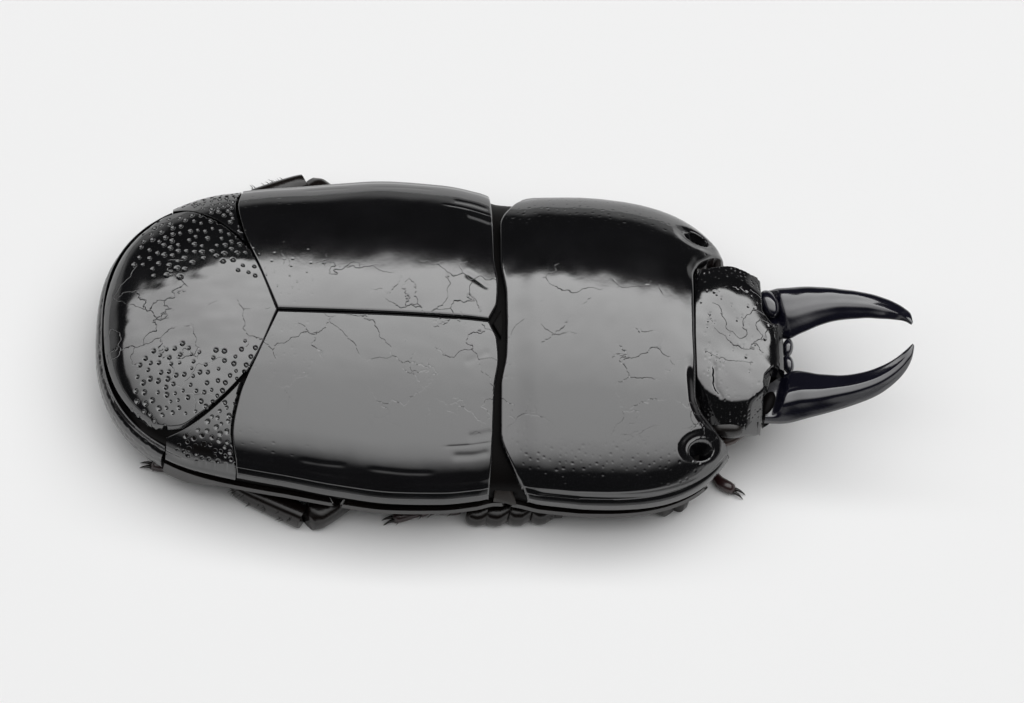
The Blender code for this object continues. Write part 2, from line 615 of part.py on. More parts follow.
# The left hind leg lies further out than the right one.
LEFT_HIND = {"knee": (-3.14, 3.34), "ankle": (-4.16, 2.82),
             "toes": [(-4.28, 2.74), (-4.74, 2.60), (-5.18, 2.42), (-5.56, 2.24)]}
FEMUR_AT = [0, 0.06, 0.25, 0.55, 0.82, 0.95, 1]
FEMUR_WIDTHS = np.array([0.50, 0.72, 0.95, 1.0, 0.92, 0.74, 0.45])
FEMUR_HEIGHTS = np.array([0.80, 0.92, 1.0, 1.0, 1.0, 0.9, 0.7])
TIBIA_AT = [0, 0.05, 0.2, 0.5, 0.8, 0.94, 1]
TIBIA_WIDTHS = np.array([0.50, 0.66, 0.78, 0.92, 1.0, 0.92, 0.62])
TIBIA_HEIGHTS = np.array([0.8, 0.95, 1.0, 1.0, 0.95, 0.85, 0.7])


def straight(start, end, at):
    start, end = np.array(start, float), np.array(end, float)
    plan = start + (end - start) * np.array(at)[:, None]
    return np.column_stack([plan, np.zeros(len(at))])


def leg_plan(pair, side):
    if pair == "hind" and side == LEFT:
        return LEGS[pair] | LEFT_HIND
    return LEGS[pair]


def make_femur(pair, side, grow=0.0):
    plan = leg_plan(pair, side)
    path = mirrored(straight(plan["hip"], plan["knee"], FEMUR_AT), side)
    return bar(f"femur_{pair}_{side_name(side)}", path, plan["femur_width"] * FEMUR_WIDTHS,
               LEG_THICKNESS * FEMUR_HEIGHTS, grow=grow)


def make_teeth(path, widths, hip, places):
    """Blunt teeth along a shin's outer edge, the side away from the hip."""
    along = path[-1] - path[0]
    outward = np.cross(along, (0, 0, 1))
    outward /= np.linalg.norm(outward)
    outward *= np.sign(outward[:2] @ ((path[0] + path[-1])[:2] / 2 - hip))
    teeth = []
    for place in places:
        edge = path[0] + along * place + outward * np.interp(place, TIBIA_AT, widths) / 2
        edge[2] = LEG_THICKNESS * 0.42
        tooth = [edge - outward * 0.10, edge + outward * 0.04, edge + outward * TOOTH_LENGTH]
        size = np.array([1.0, 0.85, 0.25]) * TOOTH_WIDTH
        teeth.append(bar("tooth", tooth, size, size, sides=6, fullness=1.0, on_floor=False))
    return teeth


def make_tibia(pair, side, grow=0.0):
    """The shin from the knee to the ankle, with blunt teeth along its outer edge."""
    plan = leg_plan(pair, side)
    path = mirrored(straight(plan["knee"], plan["ankle"], TIBIA_AT), side)
    widths = plan["tibia_width"] * TIBIA_WIDTHS
    tibia = bar(f"tibia_{pair}_{side_name(side)}", path, widths,
                LEG_THICKNESS * 0.9 * TIBIA_HEIGHTS, grow=grow)
    if grow:
        return tibia
    join(tibia, make_teeth(path, widths, mirrored(plan["hip"], side), plan["teeth"]))
    return cut(tibia, [make_femur(pair, side, SEAM)])


def make_tarsus(pair, side):
    """Five short joints as one beaded foot, with a pair of claws at its tip."""
    toes = leg_plan(pair, side)["toes"]
    joints = 5
    at, widths = [], []
    for joint, size in enumerate(np.linspace(*TARSUS_WIDTH, joints)):
        at += [joint / joints + 0.01, (joint + 0.75) / joints]
        widths += [0.72 * size, size]
    at.append(1.0)
    widths.append(0.10)
    plan = bend(toes, at)
    path = mirrored(np.column_stack([plan, np.zeros(len(at))]), side)
    tarsus = bar(f"tarsus_{pair}_{side_name(side)}", path, widths, widths, sides=8, fullness=0.9)
    tip = path[-1]
    ahead = path[-1] - path[-3]
    ahead /= np.linalg.norm(ahead)
    across = np.cross(ahead, (0, 0, 1))
    claws = []
    for turn in (LEFT, RIGHT):
        way = ahead * 0.22 + across * turn * 0.07
        start = tip - ahead * 0.06 + (0, 0, 0.03)
        claw = [start, start + way * 0.6, start + way + ahead * 0.02]
        claws.append(bar("claw", claw, [0.07, 0.06, 0.02], [0.07, 0.06, 0.02], sides=6,
                         fullness=1.0, on_floor=False))
    join(tarsus, claws)
    return cut(tarsus, [make_tibia(pair, side, SEAM)])


def make_legs():
    return [make(pair, side) for pair in LEGS for side in (LEFT, RIGHT)
            for make in (make_femur, make_tibia, make_tarsus)]


def finish_materials(piece, name, colour, roughness):
    material = bpy.data.materials.get(name)
    if material is None:
        material = bpy.data.materials.new(name)
        material.use_nodes = True
        shader = material.node_tree.nodes["Principled BSDF"]
        shader.inputs["Base Color"].default_value = (*colour, 1.0)
        shader.inputs["Roughness"].default_value = roughness
        shader.inputs["Metallic"].default_value = 0.0
    piece.data.materials.clear()
    piece.data.materials.append(material)


FINISHES = {
    "tarsus": ("tarsus_brown", (0.030, 0.012, 0.008), 0.30),
    "antenna": ("antenna_brown", (0.035, 0.014, 0.008), 0.35),
    "palp": ("palp_brown", (0.035, 0.014, 0.008), 0.35),
    "eye": ("eye_black", (0.010, 0.009, 0.008), 0.20),
    "mesepimeron": ("side_membrane", (0.080, 0.035, 0.020), 0.45),
}
SHELL_FINISH = ("shell_black", (0.008, 0.008, 0.009), 0.12)


def to_metres(piece):
    piece.data.transform(Matrix.Scale(MM, 4))
    piece.data.shade_smooth()
    piece.data.set_sharp_from_angle(angle=math.radians(35))
    kind = piece.name.split("_")[0]
    finish_materials(piece, *FINISHES.get(kind, SHELL_FINISH))


def main():
    for old in list(bpy.data.objects):
        bpy.data.objects.remove(old, do_unlink=True)
    pieces = make_legs()
    pieces += [make_pronotum(), make_scutellum(), make_propygidium(), make_pygidium()]
    pieces += [make_head(), make_labrum()]
    pieces += make_undersides()
    for side in (LEFT, RIGHT):
        pieces += [make_elytron(side), make_mesepimeron(side), make_tergite(side)]
        pieces += [make_mandible(side), make_eye(side), make_antenna(side), make_palp(side)]
    for piece in pieces:
        to_metres(piece)


main()
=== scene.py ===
"""Hololepta lissopyga, a flat glossy black beetle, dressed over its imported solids.

Metres, +Z up, +X towards the head, +Y the beetle's left side. The beetle's own sizes are in
millimetres, and make_mesh turns them into metres; floor, light and camera are in metres.
"""

import math

import bmesh
import bpy
import numpy as np
from mathutils import Euler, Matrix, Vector


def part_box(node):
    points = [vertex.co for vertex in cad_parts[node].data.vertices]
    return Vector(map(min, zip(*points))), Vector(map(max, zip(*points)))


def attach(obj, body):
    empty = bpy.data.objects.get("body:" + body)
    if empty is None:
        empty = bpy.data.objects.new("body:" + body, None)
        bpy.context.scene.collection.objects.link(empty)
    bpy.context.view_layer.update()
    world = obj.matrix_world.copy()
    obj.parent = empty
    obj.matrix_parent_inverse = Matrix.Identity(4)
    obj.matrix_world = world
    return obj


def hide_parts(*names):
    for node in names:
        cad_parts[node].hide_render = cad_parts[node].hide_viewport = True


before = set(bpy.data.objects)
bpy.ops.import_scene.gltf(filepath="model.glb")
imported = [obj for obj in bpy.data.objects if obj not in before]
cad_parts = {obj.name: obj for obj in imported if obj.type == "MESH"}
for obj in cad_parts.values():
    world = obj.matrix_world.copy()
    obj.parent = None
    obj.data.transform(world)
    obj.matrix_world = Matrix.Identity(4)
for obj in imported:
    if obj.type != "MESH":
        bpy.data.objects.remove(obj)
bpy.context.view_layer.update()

MM = 0.001
BODY = "root"
SEAM = 0.09
LEFT = 1.0
RIGHT = -1.0
SIDE_NAMES = {LEFT: "left", RIGHT: "right"}
SIDE_SEED = {LEFT: 1, RIGHT: 2}      # gives the two sides of the body their own random draws

# The same driving sizes as the solids.
BODY_REAR = -6.54
MANDIBLE_TIP = 6.46
ELYTRON_SUTURE_REAR = -3.64
WAIST = -0.06
PRONOTUM_FRONT = 2.97
HEAD_FRONT = 4.47
REAR_BEND = -3.60
REAR_LENGTH = REAR_BEND - BODY_REAR
REAR_ROUNDNESS = 2.55
PROPYGIDIUM_ROUNDNESS = 2.3
PROPYGIDIUM_INSET = 0.13
FRONT_BEND = 1.00
FRONT_LENGTH = 2.85
FRONT_ROUNDNESS = 3.0
PLATE_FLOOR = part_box("elytron_left")[0][2] / MM
PROPYGIDIUM_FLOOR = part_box("propygidium")[0][2] / MM
HEAD_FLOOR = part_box("head")[0][2] / MM
UNDERSIDE_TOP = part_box("metasternum")[1][2] / MM
CROWN_FLATNESS = 2.6
REAR_FULLNESS = 1.6
REAR_LIFT = 0.20
# The fuller right rear of the back, from where it starts to where it is full.
SWELL_FRONT = (-3.2, -5.0)
SWELL_REAR = (-6.2, -5.5)
SWELL_SIDE = (-0.2, -1.0)


def through(*knots):
    """A smooth function through (place, value) knots, level beyond both ends."""
    at, value = np.array(knots, float).T
    rise = np.diff(value) / np.diff(at)
    slope = np.concatenate([rise[:1], np.zeros(len(at) - 2), rise[-1:]])
    product = rise[:-1] * rise[1:]
    total = rise[:-1] + rise[1:]
    slope[1:-1] = np.where(product > 0, 2 * product / np.where(product > 0, total, 1), 0)

    def value_at(x):
        x = np.clip(x, at[0], at[-1])
        i = np.clip(np.searchsorted(at, x, side="right") - 1, 0, len(at) - 2)
        step = at[i + 1] - at[i]
        s = (x - at[i]) / step
        start = (1 + 2 * s) * (1 - s) ** 2 * value[i] + s * (1 - s) ** 2 * step * slope[i]
        end = s * s * (3 - 2 * s) * value[i + 1] + s * s * (s - 1) * step * slope[i + 1]
        return start + end

    return value_at


def walked(points):
    """The distance from the first of some points to each, along the straight lines between."""
    return np.concatenate([[0], np.cumsum(np.linalg.norm(np.diff(points, axis=0), axis=1))])


def smooth_line(points, length, at):
    """Places at lengths on a smooth line that has each point at its own length."""
    return np.stack([through(*zip(length, column))(at) for column in points.T], axis=-1)


def bend(points, at):
    """Places along a smooth line through points, at fractions of its chord length."""
    points = np.array(points, float)
    length = walked(points)
    return smooth_line(points, length / length[-1], np.asarray(at, float))


def smooth_step(value, low, high):
    s = np.clip((value - low) / (high - low), 0, 1)
    return s * s * (3 - 2 * s)


def bell(distance, width):
    return np.exp(-(distance / width) ** 2)


def unit(vectors):
    """Vectors scaled to length 1."""
    return vectors / np.maximum(np.linalg.norm(vectors, axis=-1, keepdims=True), 1e-12)


def stations(count, start=1.0, end=1.0, reach=0.06):
    """Shares from 0 to 1, closer together near an end by the given factor."""
    t = np.linspace(0, 1, count)
    step = 1 - (1 - start) * bell(t, reach) - (1 - end) * bell(1 - t, reach)
    walk = np.concatenate([[0], np.cumsum((step[1:] + step[:-1]) / 2)])
    return walk / walk[-1]


def rounded(count, start=1.0):
    """Shares from 0 to 1 that crowd towards 1, where the back rounds down."""
    return np.sin(stations(count, start) * math.pi / 2)


def both_ways(half):
    """Shares across the body, from -1 on the right to 1 on the left, from those of one half."""
    return np.concatenate([-half[:0:-1], half])


# The body's half width, its crown height on the midline and its side edge height, along X.
FLANK = through((BODY_REAR, 2.50), (-4.40, 2.59), (-3.60, 2.68), (-2.70, 2.82), (-1.80, 2.91),
                (-1.00, 2.88), (-0.45, 2.79), (-0.10, 2.70), (0.10, 2.70), (0.60, 2.79),
                (1.20, 2.83))
CROWN = through((BODY_REAR, 1.15), (-6.42, 1.27), (-6.09, 1.54), (-5.75, 1.66), (-5.40, 1.77),
                (-4.60, 1.93), (-3.60, 1.99), (-2.00, 2.02), (-0.80, 1.99), (-0.15, 1.92),
                (0.00, 1.92), (0.45, 1.98), (1.40, 2.02), (2.40, 1.95), (3.00, 1.85),
                (3.60, 1.72))
EDGE = through((BODY_REAR, 0.96), (-5.50, 1.02), (-4.20, 1.10), (-2.70, 1.05), (-0.50, 1.03),
               (0.20, 0.97), (1.50, 0.93), (3.00, 0.88), (3.60, 0.86))


def half_width(x):
    rear = np.clip((REAR_BEND - x) / REAR_LENGTH, 0, 1)
    front = np.clip((x - FRONT_BEND) / FRONT_LENGTH, 0, 1)
    rear_round = (1 - rear ** REAR_ROUNDNESS) ** (1 / REAR_ROUNDNESS)
    front_round = (1 - front ** FRONT_ROUNDNESS) ** (1 / FRONT_ROUNDNESS)
    return FLANK(x) * rear_round * front_round


def back(x, y):
    """Height of the back, flat and then rounded down to the sides, fuller at its rear right."""
    out = np.clip(np.abs(y) / np.maximum(half_width(x), 1e-6), 0, 1)
    full = smooth_step(x, *SWELL_FRONT) * smooth_step(y, *SWELL_SIDE) * smooth_step(x, *SWELL_REAR)
    edge = EDGE(x) + REAR_LIFT * full
    return edge + (CROWN(x) - edge) * np.sqrt(1 - out ** (CROWN_FLATNESS + REAR_FULLNESS * full))


# Seam lines between the plates, seen from above on the left side.
HIND_MARGIN = [(WAIST, 0.0), (-0.07, 0.55), (-0.15, 1.15), (-0.14, 1.90), (0.10, 2.42),
               (0.36, 2.80)]
FRONT_MARGIN = [(PRONOTUM_FRONT, 0.0), (2.98, 0.70), (2.99, 1.08), (3.08, 1.34), (3.28, 1.54),
                (3.60, 1.76)]
ELYTRON_APEX = [(ELYTRON_SUTURE_REAR, SEAM / 2), (-3.94, 0.78), (-4.22, 1.54), (-4.30, 2.06),
                (-4.20, 2.50)]
PROPYGIDIUM_SIDE = [(-4.19, 1.08), (-4.50, 1.45), (-4.86, 1.76), (-5.20, 1.94), (-5.44, 2.00)]
TERGITE_SPAN = (0.97, 0.13)          # shares of that line, from the tergite's rear to its front
TERGITE_NOSE = 0.30
PROPYGIDIUM_NOSE = ELYTRON_SUTURE_REAR - SEAM


def share_out(points):
    """How far out across the back points lie, 1 at its side edge."""
    return np.abs(points[..., 1]) / np.maximum(half_width(points[..., 0]), 1e-6)


def side_line(x_start, x_end, at, inset=0.0):
    x = x_start + (x_end - x_start) * at
    return np.stack([x, half_width(x) - inset], axis=-1)


def rear_arc(angles, inset, roundness=REAR_ROUNDNESS):
    """The rounded rear outline, moved in by inset, at angles from straight back."""
    s, c = np.abs(np.sin(angles)), np.abs(np.cos(angles))
    x = REAR_BEND - (REAR_LENGTH - inset) * c ** (2 / roundness)
    y = (FLANK(x) - inset) * s ** (2 / roundness) * np.sign(np.sin(angles))
    return np.stack([x, y], axis=-1)


def patch(south, north, west, east, u, v):
    """A grid between four edge lines: u runs along south and north, v along west and east."""
    u, v = u[:, None, None], v[None, :, None]
    ruled = (1 - v) * south[:, None] + v * north[:, None] + (1 - u) * west[None] + u * east[None]
    corners = ((1 - u) * (1 - v) * south[0] + u * (1 - v) * south[-1]
               + (1 - u) * v * north[0] + u * v * north[-1])
    return ruled - corners


def rolled(distance, width, drop):
    """How far the surface drops at a distance from a plate's edge."""
    d = 1 - np.clip(distance / width, 0, 1)
    return drop * (1 - np.sqrt(1 - d * d))


def border(grid, side):
    return {"south": grid[:, :1], "north": grid[:, -1:], "west": grid[:1], "east": grid[-1:]}[side]


def edge_roll(grid, **rolls):
    """The drop at each grid point from rolled edges, given by side as a width and a drop."""
    drop = np.zeros(grid.shape[:2])
    for side, (width, most) in rolls.items():
        gap = np.linalg.norm(grid - border(grid, side), axis=-1)
        drop = np.maximum(drop, rolled(gap, width, most))
    return drop


def raised(grid, level, **rolls):
    """A surface over a plan grid, at the heights of level(x, y) and with rolled edges."""
    heights = level(grid[..., 0], grid[..., 1]) - edge_roll(grid, **rolls)
    return np.dstack([grid, heights])


def mirrored(points, side):
    points = np.array(points, float)
    points[..., 1] *= side
    return points


def both_halves(half_line):
    """A line given from the midline out to the left, continued to the right side."""
    return np.vstack([mirrored(half_line[:0:-1], RIGHT), half_line])


def full_plate(flank, rear, front, u, half):
    """A plan grid from flank to flank, between two lines across, all given on the left side."""
    across = (both_ways(half) + 1) / 2
    return patch(mirrored(flank, RIGHT), flank, both_halves(rear), both_halves(front), u, across)


def body_plate(rear, front, u, half, inset=0.0):
    """A full plate out to the side edge of the body, or that far inside it."""
    flank = side_line(rear[-1][0], front[-1][0], u, inset)
    rear, front = bend([*rear[:-1], flank[0]], half), bend([*front[:-1], flank[-1]], half)
    return full_plate(flank, rear, front, u, half)


# Surface tools. A surface is a grid of points; details move its points along its normals.

def add_wall(points, side, level, rows, tuck=0.0):
    """Continues a grid down from one of its sides to a level, drawn in across Y by tuck."""
    rings = []
    for s in np.linspace(0, 1, rows + 1)[1:]:
        ring = border(points, side).copy()
        ring[..., 2] += (level - ring[..., 2]) * s
        ring[..., 1] *= 1 - tuck * s * s
        rings.append(ring)
    axis = 1 if side in ("south", "north") else 0
    if side in ("north", "east"):
        return np.concatenate([points, *rings], axis=axis)
    return np.concatenate([*rings[::-1], points], axis=axis)


def cell_normals(points):
    """Normals of a grid's cells, as long as the area of each."""
    return np.cross(np.gradient(points, axis=0), np.gradient(points, axis=1))


def normals(points):
    face = unit(cell_normals(points))
    return face * np.sign(face[..., 2].sum())


def displace(points, depth):
    """Moves a surface in along its normals by depth, or out where depth is below 0."""
    return points - normals(points) * depth[..., None]


def wobble(points, seed, size, height):
    """Gentle random swells, about size across."""
    draw = np.random.default_rng(seed)
    swell = np.zeros(points.shape[:2])
    count = 18
    for _ in range(count):
        way = draw.normal(size=3)
        way *= 2 * math.pi / (size * draw.uniform(0.7, 1.6) * np.linalg.norm(way))
        swell += np.sin(points @ way + draw.uniform(0, 2 * math.pi))
    return height * swell * math.sqrt(2 / count)


def line_distance(points, path, samples=40):
    """Distance in plan from each point to a smooth line, and the share along it."""
    line = bend(path, np.linspace(0, 1, samples))
    best = np.full(points.shape[:2], np.inf)
    share = np.zeros(points.shape[:2])
    for k in range(samples - 1):
        start, way = line[k], line[k + 1] - line[k]
        t = np.clip(((points[..., :2] - start) @ way) / (way @ way), 0, 1)
        gap = np.linalg.norm(points[..., :2] - start - t[..., None] * way, axis=-1)
        near = gap < best
        best = np.where(near, gap, best)
        share = np.where(near, (k + t) / (samples - 1), share)
    return best, share


def groove(points, path, width, depth, fade=0.2):
    """A furrow along a line in plan that runs out shallow at both ends."""
    gap, share = line_distance(points, path)
    ends = smooth_step(share, 0, fade) * smooth_step(1 - share, 0, fade)
    return depth * bell(gap, width) * ends


def scatter(points, seed, count, spacing, chance):
    """Random places on a surface, at least spacing apart, kept with the chance at each."""
    draw = np.random.default_rng(seed)
    rows, columns = points.shape[:2]
    area = np.linalg.norm(cell_normals(points), axis=-1)
    weight = (area * np.clip(chance, 0, 1)).ravel()
    picks = draw.choice(rows * columns, size=count * 6, p=weight / weight.sum())
    flat = points.reshape(-1, 3)
    kept = np.empty((count, 3))
    found = 0
    for pick in picks:
        gaps = np.sum((kept[:found] - flat[pick]) ** 2, axis=1)
        if found < count and (gaps > spacing ** 2).all():
            kept[found] = flat[pick]
            found += 1
    return kept[:found]


# Dents of the plates: most of them, least distance between them, smallest and largest radius,
# and depth as a share of the radius.
WING_PITS = (70, 0.12, (0.007, 0.013), 0.5)
PRONOTUM_PITS = (420, 0.09, (0.008, 0.018), 0.5)
PROPYGIDIUM_PITS = (330, 0.118, (0.026, 0.046), 0.75)
TERGITE_PITS = (110, 0.085, (0.024, 0.044), 0.75)
PYGIDIUM_PITS = (300, 0.11, (0.03, 0.05), 0.2)
STERNAL_PITS = (500, 0.09, (0.018, 0.034), 0.7)
HEAD_PITS = (420, 0.055, (0.008, 0.020), 0.6)
# Where the dents are. Each pair runs from the place with none to the place with most.
WING_PITTED = (-2.9, -4.2)          # along X
PRONOTUM_PITTED = (0.55, 0.9)       # share of the half width
PROPYGIDIUM_BARE = 0.62             # half width of the bare middle
PROPYGIDIUM_WAVE = 0.10             # how far the edge of the bare middle waves in and out
PROPYGIDIUM_PITTED = 0.35           # width over which the dents set in
PROPYGIDIUM_TAIL = (-6.0, -5.75)    # along X
PROPYGIDIUM_RIM = (2.0, 1.75)       # out from the midline
TERGITE_PITTED = (0.10, 0.28)       # out from the propygidium
TERGITE_TOP = (1.22, 1.36)          # height
STERNUM_PITTED = (0.7, 1.4)         # out from the midline, in half widths of the keel
PLATE_RIM = 0.93                    # share of the half width that can have dents
PRONOTUM_RIM = 0.94


def punctures(points, seed, chance, kind, steep=(0.0, 0.0, 0.0)):
    """Dents of one kind at random places, crisp on their steep side and gentle on the other."""
    count, spacing, sizes, ratio = kind
    centres = scatter(points, seed, count, spacing, chance)
    radii = np.random.default_rng(seed).uniform(*sizes, len(centres))
    flat = points.reshape(-1, 3)
    depth = np.zeros(len(flat))
    for centre, radius in zip(centres, radii):
        offset = flat - centre
        gap = np.linalg.norm(offset, axis=1) / radius
        inside = np.flatnonzero(gap < 1)
        lean = offset[inside] @ np.array(steep) / radius
        dent = radius * ratio * np.sqrt(1 - gap[inside] ** 2) * smooth_step(lean, -1.1, 0.5)
        depth[inside] = np.maximum(depth[inside], dent)
    return depth.reshape(points.shape[:2])


# Mesh tools

SHARP_ANGLE = math.radians(62)


def add_object(name, data):
    made = bpy.data.objects.new(name, data)
    bpy.context.scene.collection.objects.link(made)
    return made


def make_mesh(name, verts, faces):
    bm = bmesh.new()
    made = [bm.verts.new(v) for v in np.asarray(verts) * MM]
    for face in faces:
        bm.faces.new([made[i] for i in face])
    bmesh.ops.recalc_face_normals(bm, faces=bm.faces)
    mesh = bpy.data.meshes.new(name)
    bm.to_mesh(mesh)
    bm.free()
    mesh.shade_smooth()
    mesh.set_sharp_from_angle(angle=SHARP_ANGLE)
    return mesh


def add_piece(name, solids, material, slot, *nodes, side=None):
    """One object from closed solids, each a pair of points and faces, standing for nodes.

    A piece of one side of the body has the side's name at the end of its own and its nodes'.
    """
    end = "_" + SIDE_NAMES[side] if side else ""
    verts, faces = [], []
    for points, cells in solids:
        start = len(verts)
        verts.extend(points)
        faces.extend([[i + start for i in cell] for cell in cells])
    piece = add_object(name + end, make_mesh(name + end, verts, faces))
    piece.data.materials.append(material)
    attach(piece, BODY)
    if nodes:
        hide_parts(*(node + end for node in nodes))


WALLED = 0.03        # a corner this near the floor ends a wall
MERGED = 1e-6


def shell(points, floor, draw_in=0.03):
    """A closed solid under a surface: a skirt from its border to the floor, and a flat base."""
    rows, columns = points.shape[:2]
    verts = points.reshape(-1, 3)
    middle = np.append(verts[:, :2].mean(axis=0), floor)
    faces = [(i * columns + j, (i + 1) * columns + j, (i + 1) * columns + j + 1,
              i * columns + j + 1) for i in range(rows - 1) for j in range(columns - 1)]
    rim = ([i * columns for i in range(rows)]
           + [(rows - 1) * columns + j for j in range(1, columns)]
           + [i * columns + columns - 1 for i in range(rows - 2, -1, -1)]
           + list(range(columns - 2, 0, -1)))
    foot = verts[rim] * (1, 1, 0) + (0, 0, floor)
    for row in (0, rows - 1):
        on_row = np.array(rim) // columns == row
        ends = points[row, [0, -1]]
        for end in ends[np.abs(ends[:, 2] - floor) < WALLED]:
            outward = np.sign(end[1] - ends[:, 1].mean())
            foot[on_row & ((foot[:, 1] - end[1]) * outward > 0), 1] = end[1]
    foot = foot + unit(middle - foot) * draw_in
    same = np.linalg.norm(foot - np.roll(foot, 1, axis=0), axis=1) < MERGED
    base = len(verts) + np.cumsum(~same) - 1
    base[base < len(verts)] = base[-1]
    feet = foot[~same]
    centre = len(verts) + len(feet)
    for k, one in enumerate(rim):
        n = (k + 1) % len(rim)
        if base[k] == base[n]:
            faces.append((one, rim[n], base[k]))
        else:
            faces.append((one, rim[n], base[n], base[k]))
            faces.append((base[k], base[n], centre))
    return np.vstack([verts, feet, middle]), faces


def ring_section(sides, fullness):
    """A unit ring, from round at fullness 1 to boxy near 0."""
    angle = (np.arange(sides) + 0.5) * 2 * math.pi / sides
    ring = np.stack([np.cos(angle), np.sin(angle)], axis=-1)
    ring = np.sign(ring) * np.abs(ring) ** fullness
    return ring / np.abs(ring).max(axis=0)


def loft(rings):
    """A closed solid through rings of equal point count."""
    rings = np.array(rings)
    count, sides = rings.shape[:2]
    faces = [(k * sides + i, k * sides + (i + 1) % sides, (k + 1) * sides + (i + 1) % sides,
              (k + 1) * sides + i) for k in range(count - 1) for i in range(sides)]
    ends = np.array([rings[0].mean(axis=0), rings[-1].mean(axis=0)])
    first = count * sides
    last = (count - 1) * sides
    for i in range(sides):
        j = (i + 1) % sides
        faces.append((i, j, first))
        faces.append((last + i, last + j, first + 1))
    return np.vstack([rings.reshape(-1, 3), ends]), faces


def limb(path, widths, heights, sides=20, fullness=1.0, on_floor=False):
    """A round or boxy limb along a path. Widths lie level across it."""
    path = np.array(path, float)
    widths, heights = widths / 2, heights / 2
    along = unit(np.gradient(path, axis=0))
    across = unit(np.cross(along, (0, 0, 1)))
    upward = np.cross(across, along)
    if on_floor:
        path[:, 2] = heights
        upward = np.tile((0.0, 0.0, 1.0), (len(path), 1))
    ring = ring_section(sides, fullness)
    return loft(path[:, None] + ring[None, :, :1] * (across * widths[:, None])[:, None]
                + ring[None, :, 1:] * (upward * heights[:, None])[:, None])


def spike(root, tip, radius, curve=(0, 0, 0), sides=5, rings=4):
    """A tapering bristle, spine or claw from a root to a tip, bowed by curve."""
    root, tip, curve = (np.array(v, float) for v in (root, tip, curve))
    at = np.linspace(0, 1, rings)
    path = root + (tip - root) * at[:, None] + curve * (4 * at * (1 - at))[:, None]
    width = 2 * radius * (1 - at) ** 0.7 + 0.002
    return limb(path, width, width, sides=sides)


def ball(centre, radii, turn=0.0, segments=32, rings=18):
    """An ellipsoid turned about the vertical."""
    polar = np.linspace(0, math.pi, rings + 2)[1:-1]
    around = np.arange(segments) * 2 * math.pi / segments
    out = np.sin(polar)[:, None]
    up = np.repeat(np.cos(polar)[:, None], segments, axis=1)
    grid = np.dstack([out * np.cos(around), out * np.sin(around), up]) * radii
    c, s = math.cos(turn), math.sin(turn)
    grid = grid @ np.array([[c, s, 0], [-s, c, 0], [0, 0, 1]]) + centre
    verts, faces = loft(grid)
    verts[-2] = np.array(centre) + (0, 0, radii[2])
    verts[-1] = np.array(centre) - (0, 0, radii[2])
    return verts, faces


# Finishes. Sizes in the nodes are millimetres: object coordinates are multiplied by 1000.

def node_tree(material):
    material.use_nodes = True
    return material.node_tree


def connect(tree, node, inputs):
    """Links each input that is given another node's socket, and sets each other one."""
    for key, value in inputs.items():
        if isinstance(value, bpy.types.NodeSocket):
            tree.links.new(value, node.inputs[key])
        else:
            node.inputs[key].default_value = value


def add_node(tree, kind, inputs, **settings):
    node = tree.nodes.new("ShaderNode" + kind)
    for key, value in settings.items():
        setattr(node, key, value)
    connect(tree, node, inputs)
    return node


def noise(tree, place, scale, detail, output="Fac"):
    found = add_node(tree, "TexNoise", {"Vector": place, "Scale": scale, "Detail": detail})
    return found.outputs[output]


def map_range(tree, value, start, end, kind="LINEAR"):
    """A value that runs from the first to the second of start, mapped to those of end."""
    return add_node(tree, "MapRange", {"Value": value, "From Min": start[0], "From Max": start[1],
                                       "To Min": end[0], "To Max": end[1]},
                    interpolation_type=kind).outputs["Result"]


def math_node(tree, operation, *values):
    return add_node(tree, "Math", dict(enumerate(values)), operation=operation).outputs[0]


# Noises of the finishes: cells per millimetre and detail.
CLOUDS = (1.6, 5.0)
LINE_WARP = (1.3, 4.0)
LINE_BREAKS = (0.9, 2.0)
GRAIN_DETAIL = 4.0
CLOUD_EDGES = (0.3, 0.7)            # values of the clouds for the least and the most roughness
BREAK_EDGES = (0.44, 0.56)          # values of the breaks where lines are gone and where they show
WARP_REACH = (1.3, 1.3, 1.3)
ROUGHNESS_SPREAD = 0.03
GRAIN_HEIGHT = 4e-6
HAIRLINE_STRENGTH = 0.45
HAIRLINE_DEPTH = 7e-6
HAIRLINE_WIDTH = 0.016
HAIRLINE_BAND = (0.5, 1.2, 1.6)     # middle, full and faded out, across the body


def chitin(name, dark, pale, roughness, grain=12.0, bump=0.15, cracks=0.0, specular=1.0):
    """Polished horn: a colour between two tones, fine grain and, on the back, dull hairlines."""
    material = bpy.data.materials.new(name)
    tree = node_tree(material)
    place = add_node(tree, "TexCoord", {}).outputs["Object"]
    place = add_node(tree, "VectorMath", {0: place, "Scale": 1 / MM}, operation="SCALE").outputs[0]
    cloud = noise(tree, place, *CLOUDS)
    tone = add_node(tree, "Mix", {"A": (*dark, 1), "B": (*pale, 1), "Factor": cloud},
                    data_type="RGBA")
    dull = map_range(tree, cloud, CLOUD_EDGES, (roughness - ROUGHNESS_SPREAD,
                                                roughness + ROUGHNESS_SPREAD))
    under = {}
    if cracks:
        lines = hairlines(tree, place, cracks)
        sunk = add_node(tree, "Bump", {"Height": lines, "Strength": HAIRLINE_STRENGTH,
                                       "Distance": HAIRLINE_DEPTH}, invert=True)
        under = {"Normal": sunk.outputs["Normal"]}
    grains = noise(tree, place, grain, GRAIN_DETAIL)
    fine = add_node(tree, "Bump", {"Height": grains, "Strength": bump, "Distance": GRAIN_HEIGHT,
                                   **under})
    connect(tree, tree.nodes["Principled BSDF"], {
        "IOR": 1.6, "Specular IOR Level": specular, "Base Color": tone.outputs["Result"],
        "Roughness": dull, "Normal": fine.outputs["Normal"]})
    return material


